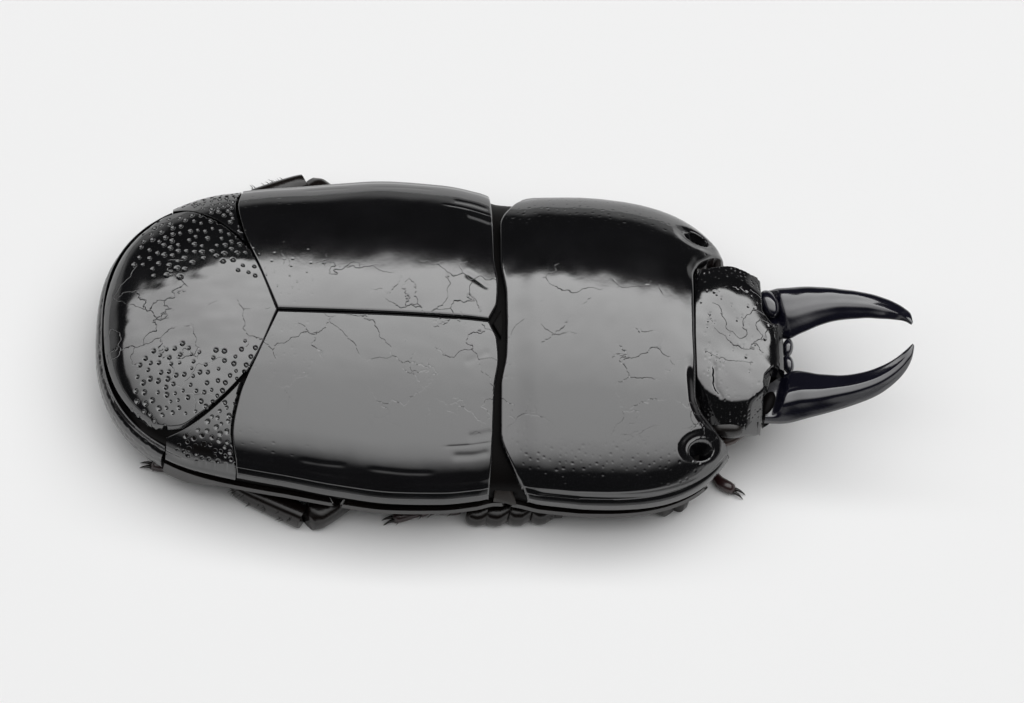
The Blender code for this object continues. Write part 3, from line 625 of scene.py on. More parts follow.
def hairlines(tree, place, spacing):
    """Thin branching lines that come and go, 1 on a line and 0 elsewhere."""
    warp = noise(tree, place, *LINE_WARP, "Color")
    shift = add_node(tree, "VectorMath", {0: warp, 1: WARP_REACH, 2: place},
                     operation="MULTIPLY_ADD")
    cell = add_node(tree, "TexVoronoi", {"Vector": shift.outputs[0], "Scale": 1 / spacing},
                    feature="DISTANCE_TO_EDGE")
    line = map_range(tree, cell.outputs["Distance"], (0.0, HAIRLINE_WIDTH), (1.0, 0.0))
    breaks = map_range(tree, noise(tree, place, *LINE_BREAKS), BREAK_EDGES, (0.0, 1.0))
    middle, full, gone = HAIRLINE_BAND
    across = add_node(tree, "SeparateXYZ", {0: place}).outputs["Y"]
    away = math_node(tree, "ABSOLUTE", math_node(tree, "ADD", across, middle))
    band = map_range(tree, away, (gone, full), (0.0, 1.0))
    return math_node(tree, "MULTIPLY", math_node(tree, "MULTIPLY", line, breaks), band)


SHELL = chitin("polished_shell", (0.0025, 0.0025, 0.0028), (0.005, 0.005, 0.006), 0.10,
               bump=0.10, cracks=0.75)
UNDERSIDE = chitin("underside_shell", (0.004, 0.003, 0.003), (0.009, 0.006, 0.005), 0.20,
                   bump=0.4, specular=0.8)
MANDIBLE = chitin("jaw_horn", (0.003, 0.003, 0.006), (0.006, 0.006, 0.014), 0.12, grain=20.0)
# Near black with almost no reflection: painted shade, for the sheet under the seams, the scutellum
# and the right jaw joint.
PAINTED_SHADE = chitin("seam_skin_black", (0.001, 0.001, 0.001), (0.003, 0.002, 0.002), 0.50,
              specular=0.06)
LEG = chitin("leg_horn", (0.003, 0.002, 0.002), (0.008, 0.005, 0.004), 0.22, bump=0.5,
             specular=0.38)
TARSUS = chitin("foot_brown", (0.012, 0.004, 0.005), (0.034, 0.012, 0.012), 0.28, bump=0.5,
                specular=0.6)
FEELER = chitin("feeler_brown", (0.015, 0.006, 0.004), (0.040, 0.018, 0.012), 0.30, bump=0.6,
                specular=0.6)
EYE = chitin("eye_black", (0.006, 0.005, 0.005), (0.012, 0.010, 0.009), 0.30, bump=0.2,
             specular=0.4)
SCLERITE = chitin("side_plate_grey", (0.008, 0.006, 0.005), (0.030, 0.024, 0.020), 0.38,
                  bump=0.8, specular=0.25)


# A black sheet below the plates, painted shade seen only at the bottom of their seams

SHADE_SHEET_REACH = (-6.22, 3.08)
SHADE_SHEET_INSET = 0.12
SHADE_SHEET_DEPTH = 0.17


def make_shade_sheet():
    x = np.linspace(*SHADE_SHEET_REACH, 90)
    share = np.linspace(-1, 1, 61)
    width = half_width(x) - SHADE_SHEET_INSET
    grid = np.dstack([np.repeat(x[:, None], len(share), axis=1), width[:, None] * share])
    neck = 0.18 * smooth_step(grid[..., 0], 2.5, 3.0)
    heights = back(grid[..., 0], grid[..., 1]) - SHADE_SHEET_DEPTH - neck
    level = UNDERSIDE_TOP + 0.02
    points = np.dstack([grid, np.maximum(heights, level + 0.05)])
    # The sheet is painted shade: it darkens the bottoms of the seams.
    add_piece("seam_skin", [shell(points, level)], PAINTED_SHADE, "shell")


# The wing covers

# Furrows of the left wing cover in plan, each with its half width and depth.
WING_FURROWS = [
    ([(-0.70, 2.05), (-0.44, 1.98), (-0.22, 1.90)], 0.070, 0.016),
    ([(-1.10, 2.22), (-0.70, 2.17), (-0.20, 2.05)], 0.020, 0.007),
    ([(-0.95, 2.34), (-0.60, 2.30), (-0.25, 2.20)], 0.050, 0.008),
    ([(-0.41, 1.29), (-0.36, 1.45), (-0.30, 1.62)], 0.050, 0.004),
    ([(-0.76, 0.84), (-0.55, 0.72), (-0.30, 0.55)], 0.060, 0.004),
    ([(-3.35, 2.44), (-2.90, 2.50), (-2.50, 2.53)], 0.030, 0.004),
    ([(-2.30, 2.56), (-1.60, 2.60), (-1.10, 2.58)], 0.030, 0.004),
]
SIDE_STEPS = (1.30, 1.18, 1.06)
STEP_HEIGHT = 0.11
STEP_DEPTH = 0.040
WING_LAP = 0.05
SUTURE_GAP = 0.02
PLATE_TUCK = 0.07
VISIBLE_APEX = [(x - WING_LAP, y) for x, y in ELYTRON_APEX[1:]]
VISIBLE_BASE = [(-0.33, SUTURE_GAP / 2), (-0.27, 0.14), (-0.20, 0.32), (-0.175, 0.70),
                (-0.235, 1.20), (-0.245, 1.95), (-0.26, 2.77)]


def stepped(points):
    """A plate with level ridges along its steep sides, each undercut below its crest."""
    above = np.median(points[..., 2], axis=0, keepdims=True) - np.array(SIDE_STEPS)[:, None, None]
    tread = np.clip(1 - above / STEP_HEIGHT, 0, 1) * smooth_step(above, -0.03, 0.008)
    shift = STEP_DEPTH * (tread.max(axis=0) - 0.6)
    moved = points.copy()
    moved[..., 1] += np.sign(points[..., 1]) * shift * smooth_step(share_out(points), 0.93, 0.985)
    return moved


def make_elytron(side):
    u = stations(250, 0.3, 0.3)
    v = rounded(250, 0.3)
    suture = bend([(ELYTRON_SUTURE_REAR - WING_LAP, SUTURE_GAP / 2), VISIBLE_BASE[0]], u)
    flank = side_line(VISIBLE_APEX[-1][0], VISIBLE_BASE[-1][0], u)
    apex = bend([suture[0], *VISIBLE_APEX[:-1], flank[0]], v)
    base = bend([*VISIBLE_BASE[:-1], flank[-1]], v)
    points = raised(patch(suture, flank, apex, base, u, v), back,
                    south=(0.05, 0.05), west=(0.018, 0.02), east=(0.05, 0.05))
    points = add_wall(points, "north", PLATE_FLOOR, 16, tuck=PLATE_TUCK)
    seed = 10 + SIDE_SEED[side]
    depth = wobble(points, seed, 1.3, 0.0022) + wobble(points, seed + 5, 0.35, 0.0004)
    for path, width, deep in WING_FURROWS:
        depth += groove(points, path, width, deep)
    chance = smooth_step(points[..., 0], *WING_PITTED) * (share_out(points) < PLATE_RIM)
    depth += punctures(points, seed, chance, WING_PITS)
    points = mirrored(stepped(displace(points, depth)), side)
    add_piece("wing_cover", [shell(points, PLATE_FLOOR)], SHELL, "shell", "elytron", side=side)


# The pronotum, with a deep hollow in each front corner

# The hollow and, inside it, a deeper pit: its centre, its radii along, inwards and outwards,
# its depth and the share of it that is bank, 0 for a cone.
FOVEA = ((3.06, 1.90), (0.42, 0.25, 0.25), 0.050, 0.42)
FOVEA_PIT = ((3.08, 1.93), (0.22, 0.14, 0.14), 0.45, 0)
FOVEA_TURN = -0.42
BEAD_STRIA = 0.972
CORNER_FALL = 0.07


def hollow(points, side, centre, radii, deep, bank):
    """Heights lowered in an oval hollow of one front corner."""
    c, s = math.cos(FOVEA_TURN), math.sin(FOVEA_TURN)
    x = points[..., 0] - centre[0]
    y = side * points[..., 1] - centre[1]
    across = c * y - s * x
    out = np.hypot((c * x + s * y) / radii[0], across / np.where(across < 0, radii[1], radii[2]))
    fall = np.clip(1 - out, 0, 1)
    lowered = points.copy()
    lowered[..., 2] -= deep * (smooth_step(fall, 0, bank) if bank else fall)
    return lowered


def make_pronotum():
    u = stations(230, 0.3, 0.3)
    grid = body_plate(HIND_MARGIN, FRONT_MARGIN, u, rounded(165))
    points = raised(grid, back, west=(0.045, 0.05), east=(0.06, 0.06))
    corner = smooth_step(np.maximum(grid[..., 1], 0.35 - grid[..., 1]), 0.75, 1.25)
    margin = np.linalg.norm(grid - grid[-1:], axis=-1)
    points[..., 2] -= CORNER_FALL * corner * (1 - smooth_step(margin, 0, 0.22))
    for side in ("north", "south"):
        points = add_wall(points, side, PLATE_FLOOR, 14, tuck=PLATE_TUCK)
    out = share_out(points)
    depth = wobble(points, 21, 1.4, 0.0020) + wobble(points, 22, 0.3, 0.0004)
    depth += 0.025 * bell(out - BEAD_STRIA, 0.008) * smooth_step(u, 0.02, 0.1)[:, None]
    chance = smooth_step(out, *PRONOTUM_PITTED) * (out < PRONOTUM_RIM)
    depth += punctures(points, 23, chance, PRONOTUM_PITS)
    points = displace(points, depth)
    for side in (LEFT, RIGHT):
        points = hollow(points, side, *FOVEA)
        points = hollow(points, side, *FOVEA_PIT)
    add_piece("pronotum_shield", [shell(stepped(points), PLATE_FLOOR)], SHELL, "shell", "pronotum")


# Small plates

def dome(outline, floor, level, bevel, rings=6):
    """A closed solid over an outline in plan, with rounded upper edges."""
    outline = np.array(outline, float)
    centre = outline.mean(axis=0)
    made = [np.column_stack([outline, np.full(len(outline), floor)])]
    for angle in np.linspace(0, math.pi / 2, rings):
        inset = bevel * (1 - math.cos(angle))
        plan = outline + (centre - outline) * inset
        made.append(np.column_stack([plan, level(plan) - bevel * (1 - math.sin(angle))]))
    for share in (0.45, 0.8):
        plan = outline + (centre - outline) * (bevel + share * (1 - bevel))
        made.append(np.column_stack([plan, level(plan)]))
    return loft(made)


def fill_outline(corners, count):
    """More points along the straight sides of a closed outline."""
    corners = np.array(corners, float)
    after = np.roll(corners, -1, axis=0)
    steps = np.linspace(0, 1, count, endpoint=False)[:, None]
    return np.vstack([a + (b - a) * steps for a, b in zip(corners, after)])


SMALL_BEVEL = 0.05
SCUTELLUM = [(-0.27, 0.0), (-0.135, 0.26), (-0.115, 0.0), (-0.135, -0.26)]
SCUTELLUM_DROP = 0.10
MESEPIMERON = [(-0.13, 2.14), (-0.17, 2.50), (-0.17, 2.66), (0.20, 2.69), (0.04, 2.47)]
MESEPIMERON_DROP = 0.30


def make_scutellum():
    def level(plan):
        return np.full(len(plan), back(-0.2, 0.0) - SCUTELLUM_DROP)

    solid = dome(fill_outline(SCUTELLUM, 10), PLATE_FLOOR, level, SMALL_BEVEL)
    # The scutellum wears the painted-shade finish, so it stays dark as if shaded in its notch.
    add_piece("scutellum_plate", [solid], PAINTED_SHADE, "shell", "scutellum")


def make_mesepimeron(side):
    def level(plan):
        return back(plan[:, 0], plan[:, 1]) - MESEPIMERON_DROP

    solid = dome(mirrored(fill_outline(MESEPIMERON, 8), side), PLATE_FLOOR, level, SMALL_BEVEL)
    add_piece("side_plate", [solid], SCLERITE, "side_sclerite", "mesepimeron", side=side)


# The rear plates

PLATE_LAP = 0.05
FINE_ROLL = (0.016, 0.016)
STEEP = (0.8, 0.6, 0)       # the way to the crisp rim of the rear plates' pits


def make_propygidium():
    half = stations(150, 1, 0.5)
    u = stations(230, 0.35, 0.3)
    corner = PROPYGIDIUM_SIDE[-1]
    reach = math.asin((corner[1] / FLANK(corner[0])) ** (PROPYGIDIUM_ROUNDNESS / 2))
    arc = rear_arc(reach * half, PROPYGIDIUM_INSET - 0.02, PROPYGIDIUM_ROUNDNESS + 0.08)
    nose = bend([(PROPYGIDIUM_NOSE, 0.0), (-4.0, 0.70), PROPYGIDIUM_SIDE[0]], half)
    side = bend([arc[-1], *PROPYGIDIUM_SIDE[-2::-1]], u)
    side[:, 1] += PLATE_LAP * smooth_step(u, 0, 0.15)
    nose[:, 0] += PLATE_LAP / 2
    nose[:, 1] *= side[-1, 1] / nose[-1, 1]
    side[-1] = nose[-1]
    points = raised(full_plate(side, arc, nose, u, half), back,
                    south=FINE_ROLL, north=FINE_ROLL, east=FINE_ROLL, west=(0.10, 0.06))
    points = add_wall(points, "west", PROPYGIDIUM_FLOOR, 12)
    x, out = points[..., 0], np.abs(points[..., 1])
    depth = wobble(points, 31, 1.1, 0.0025) + wobble(points, 32, 0.3, 0.0005)
    bare = PROPYGIDIUM_BARE + PROPYGIDIUM_WAVE * np.sin(x * 5)
    chance = smooth_step(out, bare, bare + PROPYGIDIUM_PITTED)
    chance *= smooth_step(x, *PROPYGIDIUM_TAIL) * smooth_step(out, *PROPYGIDIUM_RIM)
    depth += punctures(points, 33, chance, PROPYGIDIUM_PITS, STEEP)
    add_piece("propygidium_plate", [shell(displace(points, depth), PROPYGIDIUM_FLOOR)], SHELL,
              "shell", "propygidium")


TERGITE_TUCK = 0.05
TERGITE_GROOVE = 0.06
TERGITE_GROOVE_LEVEL = 1.10


def make_tergite(side):
    u = stations(120, 0.4, 0.4)
    v = stations(110, 0.4, 0.6)
    start, end = TERGITE_SPAN
    line = bend(PROPYGIDIUM_SIDE, start + (end - start) * u)
    outward = unit(np.gradient(line, axis=0)) @ np.array([[0, 1], [-1, 0]])
    inner = line + (PLATE_LAP + 0.02) * outward
    front = bend([(x - 0.02, y) for x, y in VISIBLE_APEX], TERGITE_NOSE + (1 - TERGITE_NOSE) * v)
    inner[-1] = front[0]
    flank = side_line(inner[0][0], front[-1][0], u)
    front[-1] = flank[-1]
    tail = inner[0] + (flank[0] - inner[0]) * v[:, None]
    points = raised(patch(inner, flank, tail, front, u, v), back,
                    south=FINE_ROLL, east=(0.025, 0.04))
    points = add_wall(points, "north", PLATE_FLOOR, 14, tuck=TERGITE_TUCK)
    seed = 40 + SIDE_SEED[side]
    apart = np.linalg.norm(points[..., :2] - inner[:, None], axis=-1)
    chance = smooth_step(apart, *TERGITE_PITTED) * smooth_step(points[..., 2], *TERGITE_TOP)
    depth = wobble(points, seed, 0.7, 0.004)
    depth += punctures(points, seed, chance, TERGITE_PITS, mirrored(STEEP, side))
    points = displace(points, depth)
    wall = smooth_step(share_out(points), 0.97, 0.985)
    points[..., 1] -= TERGITE_GROOVE * bell(points[..., 2] - TERGITE_GROOVE_LEVEL, 0.07) * wall
    add_piece("side_tergite", [shell(mirrored(points, side), PLATE_FLOOR)], SHELL, "shell",
              "tergite", side=side)


PYGIDIUM_REACH = 0.985
PYGIDIUM_PROFILE = [(0.60, 0.80), (0.12, 0.80), (0.115, 1.10), (0.105, 1.18), (0.090, 1.20),
                    (0.072, 1.18), (0.085, 1.10), (0.085, 1.04), (0.030, 0.985), (0.006, 0.92),
                    (0.000, 0.78), (0.020, 0.64), (0.060, 0.52), (0.110, 0.44), (0.24, 0.385),
                    (0.60, 0.385)]


def make_pygidium():
    """The steep last plate around the rear, with a raised rim and a coarsely pitted face."""
    profile = np.array(PYGIDIUM_PROFILE)
    length = walked(profile)
    at = np.linspace(0, length[-1], 130)
    inset, level = (np.interp(at, length, column) for column in profile.T)
    angles = np.linspace(-PYGIDIUM_REACH, PYGIDIUM_REACH, 420)
    plan = np.array([rear_arc(angles, value) for value in inset]).transpose(1, 0, 2)
    points = np.dstack([plan, np.broadcast_to(level, plan.shape[:2])])
    face = smooth_step(at, 0.95, 1.1) * smooth_step(-at, -1.75, -1.6)
    chance = np.broadcast_to(face, points.shape[:2])
    depth = punctures(points, 51, chance, PYGIDIUM_PITS)
    along = np.gradient(points, axis=0)
    outward = unit(np.dstack([along[..., 1], -along[..., 0]]))
    outward *= np.sign((outward * (points[..., :2] - (REAR_BEND, 0))).sum())
    points[..., :2] -= outward * depth[..., None]
    add_piece("pygidium_plate", [loft(points)], SHELL, "shell", "pygidium")


# The underside

KEEL_LEVEL = through((-6.20, 0.42), (-5.20, 0.28), (-3.00, 0.26), (-1.00, 0.22), (0.00, 0.26),
                     (1.60, 0.30), (3.00, 0.40))
KEEL_HALF_WIDTH = through((-6.20, 0.60), (-4.60, 1.55), (-3.20, 1.40), (-2.20, 1.05),
                          (-1.00, 0.80), (0.60, 0.55), (3.00, 0.50))
LEG_THICKNESS = 0.48
FLANK_LEVEL = through((-5.00, 0.38), (-4.50, LEG_THICKNESS + SEAM))
KEEL_SLOPE = 0.45
UNDERSIDE_INSET = 0.04
THORAX_FRONT = [(-0.12, 0.0), (-0.12, 1.2), (-0.05, 2.2), (0.02, 2.6)]
THORAX_REAR = [(-2.20, 0.0), (-2.25, 1.2), (-2.45, 2.2), (-2.60, 2.7)]
CHEST_REAR = [(x + SEAM, y) for x, y in THORAX_FRONT]
CHEST_FRONT = [(2.92, 0.0), (2.90, 1.0), (3.00, 1.5), (3.28, 1.9)]
BELLY_FRONT = [(x - SEAM, y) for x, y in THORAX_REAR]
BELLY_REAR = [(-5.78, 0.0), (-5.74, 0.35), (-5.62, 0.75), (-5.40, 1.4)]
STERNAL_STRIA = 0.86


def belly(x, y):
    slope = smooth_step(np.abs(y) - KEEL_HALF_WIDTH(x), 0, KEEL_SLOPE)
    out = np.clip(np.abs(y) / (half_width(x) - UNDERSIDE_INSET), 0, 1)
    return KEEL_LEVEL(x) + (FLANK_LEVEL(x) - KEEL_LEVEL(x)) * slope + 0.06 * out ** 6


def make_underside(name, node, rear, front, seed, furrows=()):
    """A ventral plate with side striae, cross furrows and punctures."""
    half = stations(90, 1, 0.7)
    u = stations(150, 0.5, 0.5)
    grid = body_plate(rear, front, u, half, UNDERSIDE_INSET)
    rise = belly(grid[..., 0], grid[..., 1])
    rise += edge_roll(grid, west=(0.06, 0.06), east=(0.06, 0.06))
    for place in furrows:
        across = smooth_step(1 - np.abs(both_ways(half)), 0.04, 0.16)
        rise += 0.05 * bell(u - place, 0.008)[:, None] * across
    keel = np.abs(grid[..., 1]) / KEEL_HALF_WIDTH(grid[..., 0])
    rise += 0.03 * bell(keel - STERNAL_STRIA, 0.03)
    points = np.dstack([grid, np.minimum(rise, UNDERSIDE_TOP - 0.03)])
    chance = smooth_step(keel, *STERNUM_PITTED)
    chance[:, :8] = chance[:, -8:] = chance[:6] = chance[-6:] = 0
    depth = punctures(points, seed, chance, STERNAL_PITS)
    add_piece(name, [shell(displace(points, -depth), UNDERSIDE_TOP)], UNDERSIDE, "underside", node)


# The head

HEAD_HALF_WIDTH = through((2.90, 1.30), (3.20, 1.41), (3.60, 1.50), (3.95, 1.43), (4.24, 1.26),
                          (4.50, 0.92))
HEAD_CROWN = through((2.90, 1.71), (3.40, 1.68), (3.90, 1.62), (4.20, 1.55), (4.36, 1.47),
                     (4.50, 1.33))
HEAD_EDGE = through((2.90, 1.16), (3.60, 1.16), (3.95, 1.20), (4.24, 1.16), (4.50, 1.08))
# Half width of the flat forehead, beyond which the cheeks fall away.
PLATEAU = through((3.00, 0.74), (3.14, 0.93), (3.33, 1.04), (3.54, 1.10), (3.83, 1.05),
                  (4.02, 0.92), (4.20, 0.76), (4.45, 0.55))
HEAD_LAP = 0.065
HEAD_TUCK = 0.26
CHEEK_SLOPE = {LEFT: 0.34, RIGHT: 1.0}
CHEEK_EASE = 0.03
FOREHEAD_FALL = 0.03
CREASE = [(3.27, -0.38), (3.30, -0.62), (3.30, -0.85), (3.40, -1.05)]

MANDIBLE_OUTER = [(4.16, 1.18), (4.45, 1.21), (4.73, 1.19), (5.06, 1.14), (5.42, 1.06),
                  (5.81, 0.94), (6.14, 0.76), (6.35, 0.56), (6.44, 0.38), (MANDIBLE_TIP, 0.22)]
MANDIBLE_INNER = [(4.24, 0.52), (4.60, 0.33), (4.77, 0.38), (5.04, 0.47), (5.38, 0.53),
                  (5.72, 0.51), (5.97, 0.45), (6.17, 0.37), (6.32, 0.28), (6.43, 0.18)]
MANDIBLE_LEVEL = through((4.20, 1.14), (4.52, 1.22), (4.75, 1.33), (5.05, 1.44), (5.40, 1.54),
                         (5.76, 1.65), (6.05, 1.77), (6.26, 1.90), (6.38, 2.00), (6.45, 2.05))
MANDIBLE_THICKNESS = through((4.20, 0.46), (4.52, 0.52), (4.75, 0.47), (5.05, 0.41),
                             (5.40, 0.37), (5.76, 0.32), (6.05, 0.26), (6.26, 0.19),
                             (6.38, 0.13), (6.45, 0.06))


def forehead(x, y):
    """A flat forehead whose cheeks slope down to the sides, more steeply on the right."""
    crown, edge, flat = HEAD_CROWN(x), HEAD_EDGE(x), PLATEAU(x)
    y, slope = np.abs(y), np.where(y > 0, CHEEK_SLOPE[LEFT], CHEEK_SLOPE[RIGHT])
    beyond = (y - flat + np.hypot(y - flat, CHEEK_EASE)) / 2
    level = crown - slope * beyond - FOREHEAD_FALL * np.where(y < flat, (y / flat) ** 4, 1)
    out = np.clip(y / HEAD_HALF_WIDTH(x), 0, 1)
    return np.minimum(level, edge + (crown - edge) * np.sqrt(1 - out ** 12))


SOCKET_SLOPE = 0.65
SOCKET_REAR = 4.10


def socket(points):
    """Heights lowered round the base of each mandible."""
    x, y = points[..., 0], np.abs(points[..., 1])
    lower = MANDIBLE_LEVEL(x) - MANDIBLE_THICKNESS(x) / 2 - SEAM
    inner = 0.46 + 1.2 * np.clip(4.26 - x, 0, 1)
    reach = smooth_step(x, SOCKET_REAR, SOCKET_REAR + 0.07) * smooth_step(y, inner - 0.06, inner)
    lower -= SOCKET_SLOPE * np.clip(x - SOCKET_REAR, 0, 1)
    lowered = points.copy()
    lowered[..., 2] += np.minimum(lower - points[..., 2], 0) * reach
    return lowered


def make_head():
    half = rounded(85)
    u = stations(130, 0.4, 0.4)
    rear_line = [(x + SEAM - HEAD_LAP, y) for x, y in FRONT_MARGIN[:3]] + [(3.15, 1.36)]
    front_line = [(HEAD_FRONT, 0.0), (HEAD_FRONT, 0.45), (4.39, 0.84), (4.10, 1.22)]
    rear_half, front_half = bend(rear_line, half), bend(front_line, half)
    x = rear_half[-1][0] + (front_half[-1][0] - rear_half[-1][0]) * u
    flank = np.stack([x, HEAD_HALF_WIDTH(x)], axis=-1)
    rear_half[-1], front_half[-1] = flank[0], flank[-1]
    points = raised(full_plate(flank, rear_half, front_half, u, half), forehead,
                    west=(0.012, 0.012), east=(0.035, 0.05))
    for side in ("north", "south"):
        points = add_wall(points, side, HEAD_FLOOR, 12, tuck=HEAD_TUCK)
    x, out = points[..., 0], np.abs(points[..., 1])
    depth = wobble(points, 61, 0.7, 0.004) + wobble(points, 62, 0.25, 0.001)
    gap, along = line_distance(points, CREASE)
    depth += 0.022 * bell(gap, 0.035) * smooth_step(along, 0, 0.4)
    chance = 0.06 + smooth_step(out - PLATEAU(x), -0.05, 0.2) + bell(gap, 0.12)
    chance *= out / HEAD_HALF_WIDTH(x) < PLATE_RIM
    depth += punctures(points, 63, chance, HEAD_PITS)
    points = socket(displace(points, depth))
    add_piece("head_capsule", [shell(points, HEAD_FLOOR)], SHELL, "shell", "head")


# Places on the left side and radii of the lip's lobes and the eyes.
LIP_LOBE = (4.56, 0.15, 1.16)
LIP_RADII = (0.09, 0.165, 0.12)
LIP_TURN = 0.15
EYE_PLACE = (3.54, 1.40, 1.20)
EYE_RADII = (0.26, 0.13, 0.15)


def make_labrum():
    solids = [ball(mirrored(LIP_LOBE, side), LIP_RADII, turn=-side * LIP_TURN)
              for side in (LEFT, RIGHT)]
    add_piece("upper_lip", solids, MANDIBLE, "mandible", "labrum")


# Cross sections of the mandibles: across from the inner to the outer side, and up. The left one
# shows its broad upper face, and the right one is rolled over, with a sharper crest.
MANDIBLE_SECTION = {
    LEFT: [(-1.00, -0.42), (-0.86, -0.15), (-0.55, 0.24), (-0.28, 0.54), (-0.14, 0.60),
           (0.15, 0.64), (0.42, 0.68), (0.56, 0.68), (0.80, 0.56), (0.93, 0.34),
           (1.00, -0.05), (0.88, -0.55), (0.45, -0.92), (0.00, -1.00), (-0.50, -0.90),
           (-0.88, -0.70)],
    RIGHT: [(-1.00, -0.10), (-0.93, 0.24), (-0.80, 0.40), (-0.45, 0.56), (-0.12, 0.72),
            (0.00, 0.82), (0.12, 0.84), (0.40, 0.76), (0.50, 0.66), (0.62, 0.40),
            (0.70, 0.22), (0.84, -0.08), (0.97, -0.46), (0.75, -0.76), (0.40, -0.93),
            (0.00, -1.00), (-0.50, -0.86), (-0.88, -0.54)],
}
MANDIBLE_BASE = 4.50         # where the neck rises to the full height
NECK_SLANT = 0.10
NECK_RISE = 0.17


def closed_ring(corners, count):
    """A smooth closed ring of evenly spaced points through corners."""
    looped = np.array(corners[-2:] + corners + corners[:2], float)
    length = walked(looped)
    at = length[2] + (length[-2] - length[2]) * np.arange(count) / count
    return smooth_line(looped, length, at)


def make_mandible(side):
    at = stations(130, 0.6, 0.3, 0.15)
    outer, inner = bend(MANDIBLE_OUTER, at), bend(MANDIBLE_INNER, at)
    across, middle = (outer - inner) / 2, (outer + inner) / 2
    level = MANDIBLE_LEVEL(middle[:, 0])
    tall = MANDIBLE_THICKNESS(middle[:, 0]) / 2
    faceted = closed_ring(MANDIBLE_SECTION[side], 56)
    angle = np.arctan2(faceted[:, 1], faceted[:, 0])
    plain = np.column_stack([np.cos(angle), np.sin(angle)])
    tip = smooth_step(at, 0.86, 1.0)[:, None, None]
    ring = faceted * (1 - tip) + plain * tip
    plan = middle[:, None] + ring[..., :1] * across[:, None]
    base = MANDIBLE_BASE - NECK_SLANT * ring[..., 0]
    neck = smooth_step(plan[..., 0], base - NECK_RISE, base)
    height = level[:, None] + ring[..., 1] * tall[:, None] * np.where(ring[..., 1] > 0, neck, 1)
    points = np.dstack([plan, height])
    out = unit(points - points.mean(axis=1, keepdims=True))
    points += out * wobble(points, 70 + SIDE_SEED[side], 0.4, 0.002)[..., None]
    add_piece("jaw", [loft(mirrored(points, side))], MANDIBLE, "mandible", "mandible", side=side)


CONDYLE = {LEFT: (4.26, 0.87, 1.30), RIGHT: (4.23, 0.86, 1.05)}
CONDYLE_RADII = {LEFT: (0.15, 0.25, 0.14), RIGHT: (0.13, 0.27, 0.17)}
CONDYLE_TURN = 0.35


def make_condyle(side):
    solid = ball(mirrored(CONDYLE[side], side), CONDYLE_RADII[side], turn=side * CONDYLE_TURN)
    # The right joint wears the painted-shade finish, dark as if shaded; the left one keeps the
    # jaw's horn.
    finish = MANDIBLE if side == LEFT else PAINTED_SHADE
    add_piece("jaw_joint", [solid], finish, "mandible", side=side)


def make_eye(side):
    solid = ball(mirrored(EYE_PLACE, side), EYE_RADII, segments=48, rings=30)
    add_piece("compound_eye", [solid], EYE, "eye", "eye", side=side)


# Feelers and palps

ANTENNA_ROUTE = {
    LEFT: [(4.13, 1.52, 0.98), (3.96, 1.54, 0.95), (3.70, 1.57, 0.92), (3.51, 1.60, 0.83),
           (3.44, 1.56, 0.66), (3.52, 1.48, 0.53), (3.67, 1.39, 0.45), (3.84, 1.31, 0.42),
           (4.02, 1.23, 0.41), (4.14, 1.18, 0.41)],
    RIGHT: [(4.02, 1.16, 0.86), (3.84, 1.27, 0.84), (3.64, 1.37, 0.78), (3.48, 1.38, 0.68),
            (3.40, 1.20, 0.56), (3.48, 0.98, 0.47), (3.62, 0.90, 0.45), (3.78, 0.86, 0.44),
            (3.94, 0.83, 0.44), (4.05, 0.82, 0.44)],
}
SCAPE_END = 0.40
FUNICLE_END = 0.66
FUNICLE_JOINTS = 7
CLUB_JOINTS = 3
FEELER_HAIRS = 60
BRISTLE_RADIUS = 0.006
PALP_ROUTE = [(4.22, 0.50, 0.52), (4.34, 0.67, 0.55), (4.47, 0.83, 0.65), (4.60, 0.96, 0.79)]
PALP_EDGES = (0.0, 0.22, 0.46, 0.72, 1.0)
PALP_SIZES = (0.17, 0.22, 0.24, 0.22, 0.11)


def joint(route, start, end, wide_start, wide_end, sides=20):
    """One joint of a feeler, palp or foot, narrow at its root and rounded at both ends."""
    at = np.linspace(0, 1, 10)
    path = bend(route, start + (end - start) * at)
    body = wide_start + (wide_end - wide_start) * at
    ends = np.sqrt(np.clip(1 - (2 * at - 1) ** 6, 0.04, 1))
    width = body * ends
    return limb(path, width, width, sides=sides)


def make_antenna(side):
    route = mirrored(ANTENNA_ROUTE[side], side)
    solids = [joint(route, 0.0, SCAPE_END, 0.09, 0.20)]
    edges = np.linspace(SCAPE_END - 0.005, FUNICLE_END, FUNICLE_JOINTS + 1)
    sizes = np.linspace(0.12, 0.19, FUNICLE_JOINTS)
    for start, end, size in zip(edges, edges[1:], sizes):
        solids.append(joint(route, start, end + 0.006, size * 0.7, size))
    edges = np.linspace(FUNICLE_END, 1.0, CLUB_JOINTS + 1)
    sizes = (0.25, 0.35, 0.34, 0.20)
    for k in range(CLUB_JOINTS):
        solids.append(joint(route, edges[k], min(edges[k + 1] + 0.02, 1), sizes[k], sizes[k + 1],
                            sides=28))
    draw = np.random.default_rng(81)
    for place in draw.uniform(FUNICLE_END + 0.03, 0.98, FEELER_HAIRS):
        root = bend(route, [place])[0]
        way = unit(draw.normal(size=3))
        solids.append(spike(root + way * 0.12, root + way * 0.21, BRISTLE_RADIUS))
    add_piece("feeler", solids, FEELER, "antenna", "antenna", side=side)


def make_palp(side):
    route = mirrored(PALP_ROUTE, side)
    solids = [joint(route, *PALP_EDGES[k:k + 2], PALP_SIZES[k] * 0.8, PALP_SIZES[k + 1])
              for k in range(len(PALP_EDGES) - 1)]
    add_piece("mouth_palp", solids, FEELER, "palp", "palp", side=side)


# Legs

